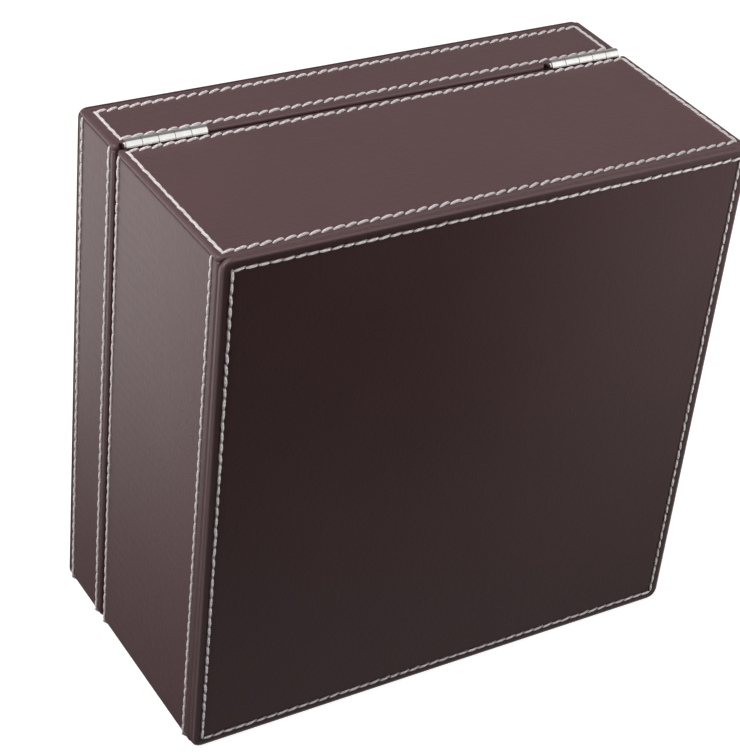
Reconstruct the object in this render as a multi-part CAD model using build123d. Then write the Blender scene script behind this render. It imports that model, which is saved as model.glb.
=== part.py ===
"""Watch display box: leather-covered boards, a hinged glass lid and six lift-out cushions.

Millimetres. Z is up from the table, Y runs from the front to the hinged back, and X is to the right.
The origin is at the middle of the whole box, hinge barrels included, on the table.
"""
import os

from build123d import *

# Outside of the box
BODY_WIDTH = 200.0          # over the two side bands
BODY_DEPTH = 197.0          # from the front band to the faces of the back panels
BASE_HEIGHT = 73.6          # from the table to the base rim
LID_GAP = 2.2               # parting gap between the two rims
LID_HEIGHT = 28.2           # from the lid rim to the top
FRONT_CORNER = 3.0          # radius of the two upright front corners

# Leather
LEATHER = 1.0               # skin of the bands, turned over the rims
BACK_PANEL = 1.8            # padded panel on the back
LEATHER_BEVEL = 0.6         # where the skin turns over an edge
PANEL_BEVEL = 0.9           # round the face of a back panel
PANEL_CORNER = 1.6          # radius of a back panel's corners, seen from behind
UNDERSIDE_PANEL = 2.6       # leather-wrapped board under the base
UNDERSIDE_CORNER = 4.0
UNDERSIDE_EDGE = 1.4        # rounding at the table
UNDERSIDE_BEVEL = 0.9       # at the walls, which leaves a groove there

# Boards
BASE_BOARD = 7.0
LID_BOARD = 6.5
FLOOR_BOARD = 4.0
TOP_RAIL = 6.0              # thickness of the rails round the window
LINING = 2.0
FLOOR_LINING = 1.5
LINING_ROUND = 0.7
COLLAR_RISE = 4.0           # how far the base lining stands above its rim
COLLAR_CLEARANCE = 0.4      # between the collar and the lid lining that rests over it

# Window in the lid
WINDOW_BORDER = 26.0        # leather round the window, from the outside of the lid
GLASS = 2.5
GLASS_SEAT = 6.0            # how far the glass reaches under the rails on each side
GLASS_CLEARANCE = 0.4       # round the edge of the glass
BEAD_LIP = 1.6              # thickness of the bead under the glass
BEAD_REVEAL = 2.5           # how far the bead stays back from the window's edge

# Compartments
COLUMNS = 3
ROWS = 2
DIVIDER = 3.0
DIVIDER_HEIGHT = 52.0
DIVIDER_CLEARANCE = 0.3     # at the ends and in the half laps
DIVIDER_ROUND = 1.2

# Cushions
CUSHION_SIDE_ROOM = 3.5     # between a cushion and what stands at its left and right
CUSHION_END_ROOM = 2.8      # between a cushion and what stands at its front and back
CUSHION_HEIGHT = 40.0
CUSHION_CROWN = 3.0         # rise of the top in its middle
CUSHION_BULGE = 1.6         # swell of the front and back in their middle
CUSHION_CORNER = 13.0       # rounding of the section that a strap goes round
CUSHION_END_DRAW = 4.5      # how far an end's outline lies inside the middle one
CUSHION_SHOULDER = 6.5      # length over which an end is drawn in
CUSHION_REST = 0.3          # between a cushion and the floor lining

# Hinges
HINGE_LENGTH = 29.0
HINGE_INSET = 3.0           # from the side of the box to the hinge's end
HINGE_BARREL = 2.2          # outer radius of the knuckles
HINGE_OUT = 0.2             # how far the pin's axis lies outside the back panels' faces
HINGE_LEAF = 0.9
HINGE_LEAF_DEPTH = 8.2      # from the pin's axis to the leaf's inner edge
HINGE_PIN = 1.2
PIN_PROUD = 0.25            # at each end of the knuckles
PIN_CLEARANCE = 0.05
KNUCKLES = 5
KNUCKLE_GAP = 0.2
KNUCKLE_RELIEF = 0.4        # round the barrel in the other leaf and in the walls
HINGE_BED_MARGIN = 1.2      # leather left under the edges of a leaf

# Countersunk screws, with heads as deep as a leaf
SCREW_SHANK = 0.9
SCREW_HEAD = 1.7
SCREW_LENGTH = 5.5
SCREW_CLEARANCE = 0.1
SCREW_SPACING = 15.0        # between the two screws of a leaf
SCREW_FROM_AXIS = 5.4       # from the pin's axis to the screws

CUT_PAST = 1.0              # how far a cut runs on past the faces that it opens

# Heights that follow
BASE_RIM = BASE_HEIGHT
LID_RIM = BASE_HEIGHT + LID_GAP
LID_TOP = LID_RIM + LID_HEIGHT
FLOOR_TOP = UNDERSIDE_PANEL + FLOOR_BOARD
LINING_FLOOR = FLOOR_TOP + FLOOR_LINING
COLLAR_TOP = BASE_RIM + COLLAR_RISE
RAIL_TOP = LID_TOP - LEATHER
RAIL_BOTTOM = RAIL_TOP - TOP_RAIL
GLASS_BOTTOM = RAIL_BOTTOM - GLASS
BEAD_BOTTOM = GLASS_BOTTOM - BEAD_LIP

# Planes front to back, with the origin midway over the hinge barrels
HINGE_PROUD = HINGE_BARREL + HINGE_OUT
FRONT_Y = -(BODY_DEPTH + HINGE_PROUD) / 2
BACK_Y = FRONT_Y + BODY_DEPTH
HINGE_Y = BACK_Y + HINGE_OUT
HINGE_Z = BASE_RIM + LID_GAP / 2
HINGE_X = BODY_WIDTH / 2 - HINGE_INSET - HINGE_LENGTH / 2


class Plan:
    """A rectangle seen from above, even about X: half its width, and its front and back in Y."""

    def __init__(self, half: float, front: float, back: float):
        self.half = half
        self.front = front
        self.back = back

    def inset(self, by: float) -> "Plan":
        """Return the plan drawn in by the same amount all round."""
        return Plan(self.half - by, self.front + by, self.back - by)

    def solid(self, low: float, high: float) -> Part:
        """Return the plan raised between two heights."""
        return block(-self.half, self.half, self.front, self.back, low, high)


def block(x0: float, x1: float, y0: float, y1: float, z0: float, z1: float) -> Part:
    """Return the box between two opposite corners."""
    centre = Pos((x0 + x1) / 2, (y0 + y1) / 2, (z0 + z1) / 2)
    return centre * Box(x1 - x0, y1 - y0, z1 - z0)


def rod(radius: float, x0: float, x1: float) -> Part:
    """Return a cylinder along X, centred on the X axis."""
    return Pos((x0 + x1) / 2, 0, 0) * Rot(0, 90, 0) * Cylinder(radius, x1 - x0)


BODY = Plan(BODY_WIDTH / 2, FRONT_Y, BACK_Y)
BOARDS = Plan(BODY_WIDTH / 2 - LEATHER, FRONT_Y + LEATHER, BACK_Y - BACK_PANEL)
BASE_INSIDE = BOARDS.inset(BASE_BOARD)
LID_INSIDE = BOARDS.inset(LID_BOARD)
CAVITY = BASE_INSIDE.inset(LINING)
WINDOW = BODY.inset(WINDOW_BORDER)

# Compartments and cushions that follow
COLUMN_WIDTH = (2 * CAVITY.half - (COLUMNS - 1) * DIVIDER) / COLUMNS
ROW_DEPTH = (CAVITY.back - CAVITY.front - (ROWS - 1) * DIVIDER) / ROWS
CUSHION_WIDTH = COLUMN_WIDTH - 2 * CUSHION_SIDE_ROOM
CUSHION_LENGTH = ROW_DEPTH - 2 * CUSHION_END_ROOM


def save(shape, node: str) -> None:
    """Write one piece to parts under its node's name."""
    export_step(shape, f"parts/{node}.step")


def group(solids: list) -> Compound:
    """Return like solids as one node."""
    return Compound(children=solids)


def four_boards(outer: Plan, inner: Plan, low: float, high: float) -> dict:
    """Return boards that fill the ring between two plans; the front and back ones run full width."""
    return {
        "front": block(-outer.half, outer.half, outer.front, inner.front, low, high),
        "back": block(-outer.half, outer.half, inner.back, outer.back, low, high),
        "left": block(-outer.half, -inner.half, inner.front, inner.back, low, high),
        "right": block(inner.half, outer.half, inner.front, inner.back, low, high),
    }


def round_front_corners(shape: Part, radius: float) -> Part:
    """Round the two upright edges at the front of a piece."""
    uprights = shape.edges().filter_by(Axis.Z).group_by(Axis.Y)[0].sort_by(Axis.X)
    return fillet([uprights[0], uprights[-1]], radius)


def skin_solid(low: float, high: float) -> Part:
    """Return the body's outline between two heights, with its front corners rounded."""
    return round_front_corners(BODY.solid(low, high), FRONT_CORNER)


def board_core(low: float, high: float) -> Part:
    """Return the outline of the boards between two heights, run on past the back."""
    core = Plan(BOARDS.half, BOARDS.front, BACK_Y)
    return round_front_corners(core.solid(low, high), FRONT_CORNER - LEATHER)


def leather_band(rim: float, far: float, inside: Plan) -> Part:
    """Return the strip round the left, front and right, turned over the boards' ends at the rim."""
    low, high = min(rim, far), max(rim, far)
    under_lip = rim + (LEATHER if far > rim else -LEATHER)
    band = Plan(BODY.half, BODY.front, BOARDS.back).solid(low, high)
    band = round_front_corners(band, FRONT_CORNER)
    band = chamfer(band.edges().filter_by(Axis.Z).group_by(Axis.Y)[-1], LEATHER_BEVEL)
    band = chamfer(band.faces().filter_by(Plane.XY).edges(), LEATHER_BEVEL)
    band -= board_core(min(under_lip, far), max(under_lip, far))
    band -= Plan(inside.half, inside.front, BACK_Y).solid(low, high)
    return band - block(-BOARDS.half, BOARDS.half, inside.back, BACK_Y, low, high)


def hinge_relief() -> Part:
    """Return the grooves in the back rims that the two hinge barrels lie in."""
    reach = HINGE_LENGTH / 2 + PIN_PROUD + KNUCKLE_RELIEF
    radius = HINGE_BARREL + KNUCKLE_RELIEF
    grooves = [Pos(x, HINGE_Y, HINGE_Z) * rod(radius, -reach, reach) for x in (-HINGE_X, HINGE_X)]
    return grooves[0] + grooves[1]


def back_panel(rim: float, far: float, inside: Plan) -> Part:
    """Return the padded back panel, turned over the back board's end at the rim."""
    low, high = min(rim, far), max(rim, far)
    into = 1 if far > rim else -1
    panel = block(-BODY.half, BODY.half, BOARDS.back, BACK_Y, low, high)
    panel = fillet(panel.edges().filter_by(Axis.Y), PANEL_CORNER)
    panel = chamfer(panel.faces().sort_by(Axis.Y)[-1].edges(), PANEL_BEVEL)
    lip = sorted((rim, rim + into * LEATHER))
    turned = block(-BOARDS.half, BOARDS.half, inside.back, BOARDS.back, *lip)
    return panel + turned - hinge_relief() - hinge_beds(*lip)


def hinge_beds(low: float, high: float) -> Part:
    """Return the openings in the turned leather through which the screws reach the board."""
    half = HINGE_LENGTH / 2 - HINGE_BED_MARGIN
    front = HINGE_Y - HINGE_LEAF_DEPTH + HINGE_BED_MARGIN
    back = HINGE_Y - HINGE_BARREL - KNUCKLE_RELIEF - HINGE_BED_MARGIN
    beds = [block(x - half, x + half, front, back, low, high) for x in (-HINGE_X, HINGE_X)]
    return beds[0] + beds[1]


def screw_places(leaf_sign: int) -> list:
    """Return where the screws of both leaves on one side of the gap enter, on the rim."""
    rim = HINGE_Z + leaf_sign * LID_GAP / 2
    y = HINGE_Y - SCREW_FROM_AXIS
    return [
        (x + step, y, rim)
        for x in (-HINGE_X, HINGE_X)
        for step in (-SCREW_SPACING / 2, SCREW_SPACING / 2)
    ]


def screw_holes(leaf_sign: int) -> Part:
    """Return the holes that the screws of one side need in the back board."""
    depth = SCREW_LENGTH + SCREW_CLEARANCE
    holes = Part()
    for x, y, z in screw_places(leaf_sign):
        middle = z + leaf_sign * depth / 2
        holes += Pos(x, y, middle) * Cylinder(SCREW_SHANK + SCREW_CLEARANCE, depth)
    return holes


def make_base_carcass() -> None:
    """Walls and floor of the base, with the leather that covers them."""
    top = BASE_RIM - LEATHER
    walls = four_boards(BOARDS, BASE_INSIDE, UNDERSIDE_PANEL, top)
    front = round_front_corners(walls["front"], FRONT_CORNER - LEATHER)
    save(front, "base_front_wall")
    save(walls["back"] - hinge_relief() - screw_holes(-1), "base_back_wall")
    save(walls["left"], "base_left_wall")
    save(walls["right"], "base_right_wall")
    save(BASE_INSIDE.solid(UNDERSIDE_PANEL, FLOOR_TOP), "base_floor_board")
    save(leather_band(BASE_RIM, UNDERSIDE_PANEL, BASE_INSIDE), "base_band")
    save(back_panel(BASE_RIM, UNDERSIDE_PANEL, BASE_INSIDE), "base_back_panel")

    board = fillet(BODY.solid(0, UNDERSIDE_PANEL).edges().filter_by(Axis.Z), UNDERSIDE_CORNER)
    board = fillet(board.faces().sort_by(Axis.Z)[0].edges(), UNDERSIDE_EDGE)
    board = chamfer(board.faces().sort_by(Axis.Z)[-1].edges(), UNDERSIDE_BEVEL)
    save(board, "underside_panel")


def make_base_lining() -> None:
    """Lining boards of the base; the upright ones end in the collar above the rim."""
    save(BASE_INSIDE.solid(FLOOR_TOP, LINING_FLOOR), "floor_lining")
    for side, board in four_boards(BASE_INSIDE, CAVITY, LINING_FLOOR, COLLAR_TOP).items():
        top = board.faces().sort_by(Axis.Z)[-1]
        along = Axis.X if side in ("front", "back") else Axis.Y
        save(fillet(top.edges().filter_by(along), LINING_ROUND), f"base_lining_{side}")


def compartment_grid() -> tuple:
    """Return the middles of the columns in X, the rows in Y, and of the dividers between them."""
    xs = [-CAVITY.half + COLUMN_WIDTH / 2 + i * (COLUMN_WIDTH + DIVIDER) for i in range(COLUMNS)]
    ys = [CAVITY.front + ROW_DEPTH / 2 + j * (ROW_DEPTH + DIVIDER) for j in range(ROWS)]
    cross_xs = [x + (COLUMN_WIDTH + DIVIDER) / 2 for x in xs[:-1]]
    long_ys = [y + (ROW_DEPTH + DIVIDER) / 2 for y in ys[:-1]]
    return xs, ys, cross_xs, long_ys


def make_dividers() -> None:
    """One long divider notched from above and two cross dividers notched from below."""
    xs, ys, cross_xs, long_ys = compartment_grid()
    top = LINING_FLOOR + DIVIDER_HEIGHT
    half_lap = LINING_FLOOR + DIVIDER_HEIGHT / 2
    thick = DIVIDER / 2
    notch = thick + DIVIDER_CLEARANCE
    for y in long_ys:
        reach = CAVITY.half - DIVIDER_CLEARANCE
        board = block(-reach, reach, y - thick, y + thick, LINING_FLOOR, top)
        board = fillet(board.faces().sort_by(Axis.Z)[-1].edges().filter_by(Axis.X), DIVIDER_ROUND)
        for x in cross_xs:
            board -= block(x - notch, x + notch, y - notch, y + notch, half_lap, top)
        save(board, "long_divider")
    for name, x in zip(("left", "right"), cross_xs):
        front = CAVITY.front + DIVIDER_CLEARANCE
        back = CAVITY.back - DIVIDER_CLEARANCE
        board = block(x - thick, x + thick, front, back, LINING_FLOOR, top)
        board = fillet(board.faces().sort_by(Axis.Z)[-1].edges().filter_by(Axis.Y), DIVIDER_ROUND)
        for y in long_ys:
            board -= block(x - notch, x + notch, y - notch, y + notch, LINING_FLOOR, half_lap)
        save(board, f"cross_divider_{name}")


def cushion_section() -> Face:
    """Return the section that a watch strap goes round: a flat foot, swelled ends and a crowned top."""
    length = CUSHION_LENGTH / 2
    half = length - CUSHION_BULGE
    height = CUSHION_HEIGHT - CUSHION_CROWN
    outline = Curve() + [
        Line((-half, 0), (half, 0)),
        ThreePointArc((half, 0), (length, height / 2), (half, height)),
        ThreePointArc((half, height), (0, CUSHION_HEIGHT), (-half, height)),
        ThreePointArc((-half, height), (-length, height / 2), (-half, 0)),
    ]
    section = make_face(outline)
    return fillet(section.vertices(), CUSHION_CORNER)


def cushion(x: float, y: float) -> Part:
    """Return one cushion: the section run across its width, with both ends drawn in."""
    corner = (x - CUSHION_WIDTH / 2, y, LINING_FLOOR + CUSHION_REST)
    pad = extrude(Plane(origin=corner, x_dir=(0, 1, 0), z_dir=(1, 0, 0)) * cushion_section(), CUSHION_WIDTH)
    for side in (0, -1):
        end = pad.faces().filter_by(Plane.YZ).sort_by(Axis.X)[side]
        pad = chamfer(end.edges(), CUSHION_END_DRAW, CUSHION_SHOULDER, reference=end)
    return pad


def make_cushions() -> None:
    """Six cushions, numbered from the front left."""
    xs, ys, cross_xs, long_ys = compartment_grid()
    number = 1
    for y in ys:
        for x in xs:
            save(cushion(x, y), f"cushion_{number}")
            number += 1


def knuckle_spans() -> list:
    """Return where each knuckle starts and ends along a hinge, from its middle."""
    width = (HINGE_LENGTH - (KNUCKLES - 1) * KNUCKLE_GAP) / KNUCKLES
    starts = [-HINGE_LENGTH / 2 + i * (width + KNUCKLE_GAP) for i in range(KNUCKLES)]
    return [(start, start + width) for start in starts]


def hinge_leaf(sign: int) -> Part:
    """Return a leaf with its knuckles on the X axis: sign -1 for the base, which has the outer ones."""
    rim = sign * LID_GAP / 2
    flat = sorted((rim, rim - sign * HINGE_LEAF))
    edge = -(HINGE_BARREL + KNUCKLE_RELIEF)
    wall_middle = -(HINGE_BARREL + HINGE_PIN) / 2
    leaf = block(-HINGE_LENGTH / 2, HINGE_LENGTH / 2, -HINGE_LEAF_DEPTH, edge, *flat)
    for start, end in knuckle_spans()[0 if sign < 0 else 1::2]:
        leaf += rod(HINGE_BARREL, start, end) + block(start, end, edge, wall_middle, *flat)
    leaf -= rod(HINGE_PIN + PIN_CLEARANCE, -HINGE_LENGTH, HINGE_LENGTH)
    face = rim - sign * HINGE_LEAF
    for step in (-SCREW_SPACING / 2, SCREW_SPACING / 2):
        leaf -= Pos(step, -SCREW_FROM_AXIS, face) * screw_void(sign)
    return leaf


def screw_profile(sign: int, extra: float) -> Sketch:
    """Return half a screw's outline on the XZ plane, with its head's face at the origin."""
    head = SCREW_HEAD + extra
    shank = SCREW_SHANK + extra
    points = [
        (0, 0),
        (head, 0),
        (shank, sign * HINGE_LEAF),
        (shank, sign * SCREW_LENGTH),
        (0, sign * SCREW_LENGTH),
        (0, 0),
    ]
    return Plane.XZ * make_face(Polyline(*points))


def screw(sign: int) -> Part:
    """Return a countersunk screw whose head's face is at the origin, driven towards sign."""
    return revolve(screw_profile(sign, 0), Axis.Z)


def screw_void(sign: int) -> Part:
    """Return the countersunk hole that a screw needs in its leaf."""
    return revolve(screw_profile(sign, SCREW_CLEARANCE / 2), Axis.Z)


def make_hinges() -> None:
    """Two butt hinges in the parting gap, and their screws."""
    pin_end = HINGE_LENGTH / 2 + PIN_PROUD
    for name, x in (("left", -HINGE_X), ("right", HINGE_X)):
        place = Pos(x, HINGE_Y, HINGE_Z)
        save(place * hinge_leaf(-1), f"hinge_base_leaf_{name}")
        save(place * hinge_leaf(1), f"hinge_lid_leaf_{name}")
        save(place * rod(HINGE_PIN, -pin_end, pin_end), f"hinge_pin_{name}")
    for side, sign in (("base", -1), ("lid", 1)):
        face = -sign * HINGE_LEAF
        screws = [Pos(x, y, z + face) * screw(sign) for x, y, z in screw_places(sign)]
        save(group(screws), f"hinge_{side}_screws")


def make_lid_carcass() -> None:
    """Walls of the lid, the rails round the window, and the leather that covers them."""
    walls = four_boards(BOARDS, LID_INSIDE, LID_RIM + LEATHER, RAIL_BOTTOM)
    front = round_front_corners(walls["front"], FRONT_CORNER - LEATHER)
    save(front, "lid_front_wall")
    save(walls["back"] - hinge_relief() - screw_holes(1), "lid_back_wall")
    save(walls["left"], "lid_left_wall")
    save(walls["right"], "lid_right_wall")

    rails = four_boards(BOARDS, WINDOW.inset(-LEATHER), RAIL_BOTTOM, RAIL_TOP)
    rails["front"] = round_front_corners(rails["front"], FRONT_CORNER - LEATHER)
    for side, rail in rails.items():
        save(rail, f"lid_top_rail_{side}")

    save(leather_band(LID_RIM, RAIL_TOP, LID_INSIDE), "lid_band")
    save(back_panel(LID_RIM, RAIL_TOP, LID_INSIDE), "lid_back_panel")

    top = skin_solid(RAIL_TOP, LID_TOP)
    top = chamfer(top.faces().sort_by(Axis.Z)[-1].edges(), LEATHER_BEVEL)
    lip = WINDOW.inset(-LEATHER).solid(RAIL_BOTTOM, LID_TOP)
    cut = WINDOW.solid(RAIL_BOTTOM - CUT_PAST, LID_TOP + CUT_PAST)
    top = top + lip - cut
    window_edges = top.faces().filter_by(Plane.XY).sort_by(Axis.Z)[-1].inner_wires()[0].edges()
    save(chamfer(window_edges, LEATHER_BEVEL), "lid_top_leather")


def make_window() -> None:
    """The glass, and the four beads that hold it up against the rails."""
    glass = WINDOW.inset(-GLASS_SEAT)
    save(glass.solid(GLASS_BOTTOM, RAIL_BOTTOM), "glass_pane")
    spacers = four_boards(LID_INSIDE, glass.inset(-GLASS_CLEARANCE), GLASS_BOTTOM, RAIL_BOTTOM)
    lips = four_boards(LID_INSIDE, WINDOW.inset(-BEAD_REVEAL), BEAD_BOTTOM, GLASS_BOTTOM)
    for side in spacers:
        bead = spacers[side] + lips[side]
        save(bead, f"glass_bead_{side}")


def make_lid_lining() -> None:
    """Lining boards of the lid, from just over the collar up to the beads."""
    low = COLLAR_TOP + COLLAR_CLEARANCE
    for side, board in four_boards(LID_INSIDE, LID_INSIDE.inset(LINING), low, BEAD_BOTTOM).items():
        bottom = board.faces().sort_by(Axis.Z)[0]
        along = Axis.X if side in ("front", "back") else Axis.Y
        save(fillet(bottom.edges().filter_by(along), LINING_ROUND), f"lid_lining_{side}")


os.makedirs("parts", exist_ok=True)
make_base_carcass()
make_base_lining()
make_dividers()
make_cushions()
make_hinges()
make_lid_carcass()
make_window()
make_lid_lining()
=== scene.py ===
"""Looks of the watch display box: stitched leather, velvet lining, suede cushions, nickel hinges and glass.

Metres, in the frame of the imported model. Z is up from the table, Y runs from the front to the hinged back,
and X is to the right. The photograph shows the box standing on its front face, seen from behind and below.
"""
import logging
import math
import random
from dataclasses import dataclass, field
from enum import Enum
from typing import Callable, Iterable, Optional, Sequence, Union

import bmesh
import bpy
from mathutils import Matrix, Vector
from mathutils.bvhtree import BVHTree


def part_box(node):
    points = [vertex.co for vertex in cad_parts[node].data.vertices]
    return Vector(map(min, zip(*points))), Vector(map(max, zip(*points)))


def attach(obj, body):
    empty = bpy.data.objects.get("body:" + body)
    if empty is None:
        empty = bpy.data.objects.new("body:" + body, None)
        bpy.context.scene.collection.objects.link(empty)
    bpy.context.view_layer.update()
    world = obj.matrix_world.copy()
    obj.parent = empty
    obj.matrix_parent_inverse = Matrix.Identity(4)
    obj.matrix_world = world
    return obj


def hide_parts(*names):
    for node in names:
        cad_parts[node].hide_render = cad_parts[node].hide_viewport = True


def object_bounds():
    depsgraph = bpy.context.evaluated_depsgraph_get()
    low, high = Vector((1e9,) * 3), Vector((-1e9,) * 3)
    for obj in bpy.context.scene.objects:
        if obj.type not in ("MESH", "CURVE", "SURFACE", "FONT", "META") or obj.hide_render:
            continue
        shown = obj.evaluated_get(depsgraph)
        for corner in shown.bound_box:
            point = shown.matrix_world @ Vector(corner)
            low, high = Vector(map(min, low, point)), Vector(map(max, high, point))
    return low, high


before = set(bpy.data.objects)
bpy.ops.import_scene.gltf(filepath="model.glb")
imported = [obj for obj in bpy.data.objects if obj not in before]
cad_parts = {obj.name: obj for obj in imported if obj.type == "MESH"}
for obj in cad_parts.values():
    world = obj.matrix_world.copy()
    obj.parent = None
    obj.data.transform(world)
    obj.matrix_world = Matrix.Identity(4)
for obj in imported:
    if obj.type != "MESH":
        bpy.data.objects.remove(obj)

CAD_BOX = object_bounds()
MM = 0.001
LEATHER_EDGE = 0.9 * MM
LOG = logging.getLogger("watch_box")

Number = Union[int, float]
Point2 = tuple[float, float]
Colour = tuple[float, float, float]
FadeRange = tuple[Point2, Point2]
Place = Callable[[float, float, float], Vector]
Notch = Callable[[float, float, float], Point2]

WHITE: Colour = (1.0, 1.0, 1.0)


class Body(str, Enum):
    """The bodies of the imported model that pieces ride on."""

    BASE = "base"
    LID = "lid"


class Slot(str, Enum):
    """The record's material slots."""

    LEATHER = "leather"
    BOARD = "board"
    LINING = "lining"
    SUEDE = "cushion_suede"
    NICKEL = "nickel"
    GLASS = "glass"


@dataclass(frozen=True)
class Extent:
    """The box round one or more nodes of the frame."""

    left: float
    right: float
    front: float
    back: float
    bottom: float
    top: float

    @classmethod
    def of(cls, *nodes: str) -> "Extent":
        """Return the box round nodes.

        Args:
            nodes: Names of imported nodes.

        Returns:
            Their common extent.
        """
        corners = [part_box(node) for node in nodes]
        low = [min(lo[axis] for lo, _ in corners) for axis in range(3)]
        high = [max(hi[axis] for _, hi in corners) for axis in range(3)]
        return cls(low[0], high[0], low[1], high[1], low[2], high[2])

    @property
    def centre(self) -> Vector:
        """Middle of the extent."""
        return Vector((self.left + self.right, self.front + self.back, self.bottom + self.top)) / 2


class Wire:
    """A shader socket that takes part in sums; each expression adds its Math nodes."""

    def __init__(self, shader: "Shader", socket: bpy.types.NodeSocket) -> None:
        """Wrap an output socket of a shader's tree."""
        self.shader = shader
        self.socket = socket

    def _sum(self, operation: str, first: Union["Wire", Number], second: Union["Wire", Number]) -> "Wire":
        """Add one Math node.

        Args:
            operation: The Math node's operation.
            first: Its first value or link.
            second: Its second value or link.

        Returns:
            The node's result.
        """
        return self.shader.add("ShaderNodeMath", {"operation": operation}, {0: first, 1: second}).out()

    def __add__(self, other: Union["Wire", Number]) -> "Wire":
        """Return self + other."""
        return self._sum("ADD", self, other)

    __radd__ = __add__

    def __sub__(self, other: Union["Wire", Number]) -> "Wire":
        """Return self - other."""
        return self._sum("SUBTRACT", self, other)

    def __rsub__(self, other: Number) -> "Wire":
        """Return other - self."""
        return self._sum("SUBTRACT", other, self)

    def __mul__(self, other: Union["Wire", Number]) -> "Wire":
        """Return self * other."""
        return self._sum("MULTIPLY", self, other)

    __rmul__ = __mul__

    def __pow__(self, other: Number) -> "Wire":
        """Return self ** other."""
        return self._sum("POWER", self, other)

    def sine(self) -> "Wire":
        """Return the sine of the value."""
        return self._sum("SINE", self, 0.0)

    def wave(self) -> "Wire":
        """Return the sine moved into 0 to 1."""
        return self.sine() * 0.5 + 0.5


class Placed:
    """A node just added, whose outputs are reached by name."""

    def __init__(self, shader: "Shader", node: bpy.types.Node) -> None:
        """Keep the node with its shader."""
        self.shader = shader
        self.node = node

    def out(self, name: Union[str, int] = 0) -> Wire:
        """Return an output as a wire.

        Args:
            name: The output's name, or its index.

        Returns:
            The wrapped socket.
        """
        if isinstance(name, str):
            return Wire(self.shader, next(s for s in self.node.outputs if s.name == name and s.enabled))
        return Wire(self.shader, self.node.outputs[name])


class Shader:
    """The nodes of one material or of the world."""

    def __init__(self, owner: Union[bpy.types.Material, bpy.types.World]) -> None:
        """Empty the owner's tree.

        Args:
            owner: A material or world.
        """
        owner.use_nodes = True
        self.tree = owner.node_tree
        self.tree.nodes.clear()

    def add(self, kind: str, settings: Optional[dict] = None, sockets: Optional[dict] = None) -> Placed:
        """Add any node.

        Args:
            kind: The node's type.
            settings: Its own settings, which are set first.
            sockets: Values or links of its inputs, by name or index.

        Returns:
            The node.
        """
        node = self.tree.nodes.new(kind)
        for name, value in (settings or {}).items():
            setattr(node, name, value)
        for key, value in (sockets or {}).items():
            self._feed(node, key, value)
        return Placed(self, node)

    def _feed(self, node: bpy.types.Node, key: Union[str, int], value: object) -> None:
        """Set or link one input of a node.

        Args:
            node: The node.
            key: The input's name, or its index.
            value: A value or a wire.
        """
        if isinstance(key, int):
            socket = node.inputs[key]
        else:
            socket = next(s for s in node.inputs if s.name == key and s.enabled)
        if isinstance(value, Wire):
            self.tree.links.new(value.socket, socket)
        elif isinstance(value, (tuple, list)) and socket.type == "RGBA" and len(value) == 3:
            socket.default_value = (*value, 1.0)
        else:
            socket.default_value = value

    def mix(self, share: Union[Wire, Number], first: object, second: object) -> Wire:
        """Mix two colours.

        Args:
            share: How much of the second shows, from 0 to 1.
            first: A colour or link.
            second: A colour or link.

        Returns:
            The mixed colour.
        """
        node = self.add("ShaderNodeMix", {"data_type": "RGBA"})
        self._feed(node.node, 0, share)
        self._feed(node.node, 6, first)
        self._feed(node.node, 7, second)
        return Wire(self, node.node.outputs[2])

    def coordinates(self, scale: Sequence[float] = (1.0, 1.0, 1.0)) -> Wire:
        """Return the object's own coordinates in metres, stretched by a scale."""
        sockets = {"Vector": self.add("ShaderNodeTexCoord").out("Object"), "Scale": scale}
        return self.add("ShaderNodeMapping", {"vector_type": "POINT"}, sockets).out()

    def fade(self, value: Wire, start: Point2, end: Point2) -> Wire:
        """Turn a value softly from one range into another.

        Args:
            value: What is turned.
            start: The range that it is read in.
            end: What the two ends of that range become.

        Returns:
            The turned value, which stays between the ends.
        """
        sockets = {"Value": value, "From Min": start[0], "From Max": start[1]}
        sockets |= {"To Min": end[0], "To Max": end[1]}
        return self.add("ShaderNodeMapRange", {"interpolation_type": "SMOOTHSTEP"}, sockets).out()

    def noise(self, place: Wire, size: float, detail: float = 3.0, rough: float = 0.55) -> Wire:
        """Return soft noise whose blotches are about a size across, in metres."""
        sockets = {"Vector": place, "Scale": 1.0 / size, "Detail": detail, "Roughness": rough}
        return self.add("ShaderNodeTexNoise", {"normalize": True}, sockets).out()

    def bump(self, height: Wire, depth: float, under: Optional[Wire] = None) -> Wire:
        """Return normals raised by a height map.

        Args:
            height: The height map, from 0 to 1.
            depth: The real depth of its full height, in metres.
            under: Normals that it is laid over.

        Returns:
            The raised normals.
        """
        sockets: dict = {"Height": height, "Strength": 1.0, "Distance": depth}
        if under is not None:
            sockets["Normal"] = under
        return self.add("ShaderNodeBump", None, sockets).out()

    def surface(self, **sockets: object) -> None:
        """Finish the tree with one Principled shader.

        Args:
            sockets: Inputs by name, with underscores for spaces.
        """
        named = {name.replace("_", " "): value for name, value in sockets.items()}
        named = {"IOR" if name == "Ior" else name: value for name, value in named.items()}
        shader = self.add("ShaderNodeBsdfPrincipled", None, named).out("BSDF")
        self.add("ShaderNodeOutputMaterial", None, {"Surface": shader})


def new_shader(name: str) -> tuple[bpy.types.Material, Shader]:
    """Return a new material and its empty shader."""
    material = bpy.data.materials.new(name)
    return material, Shader(material)


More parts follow.
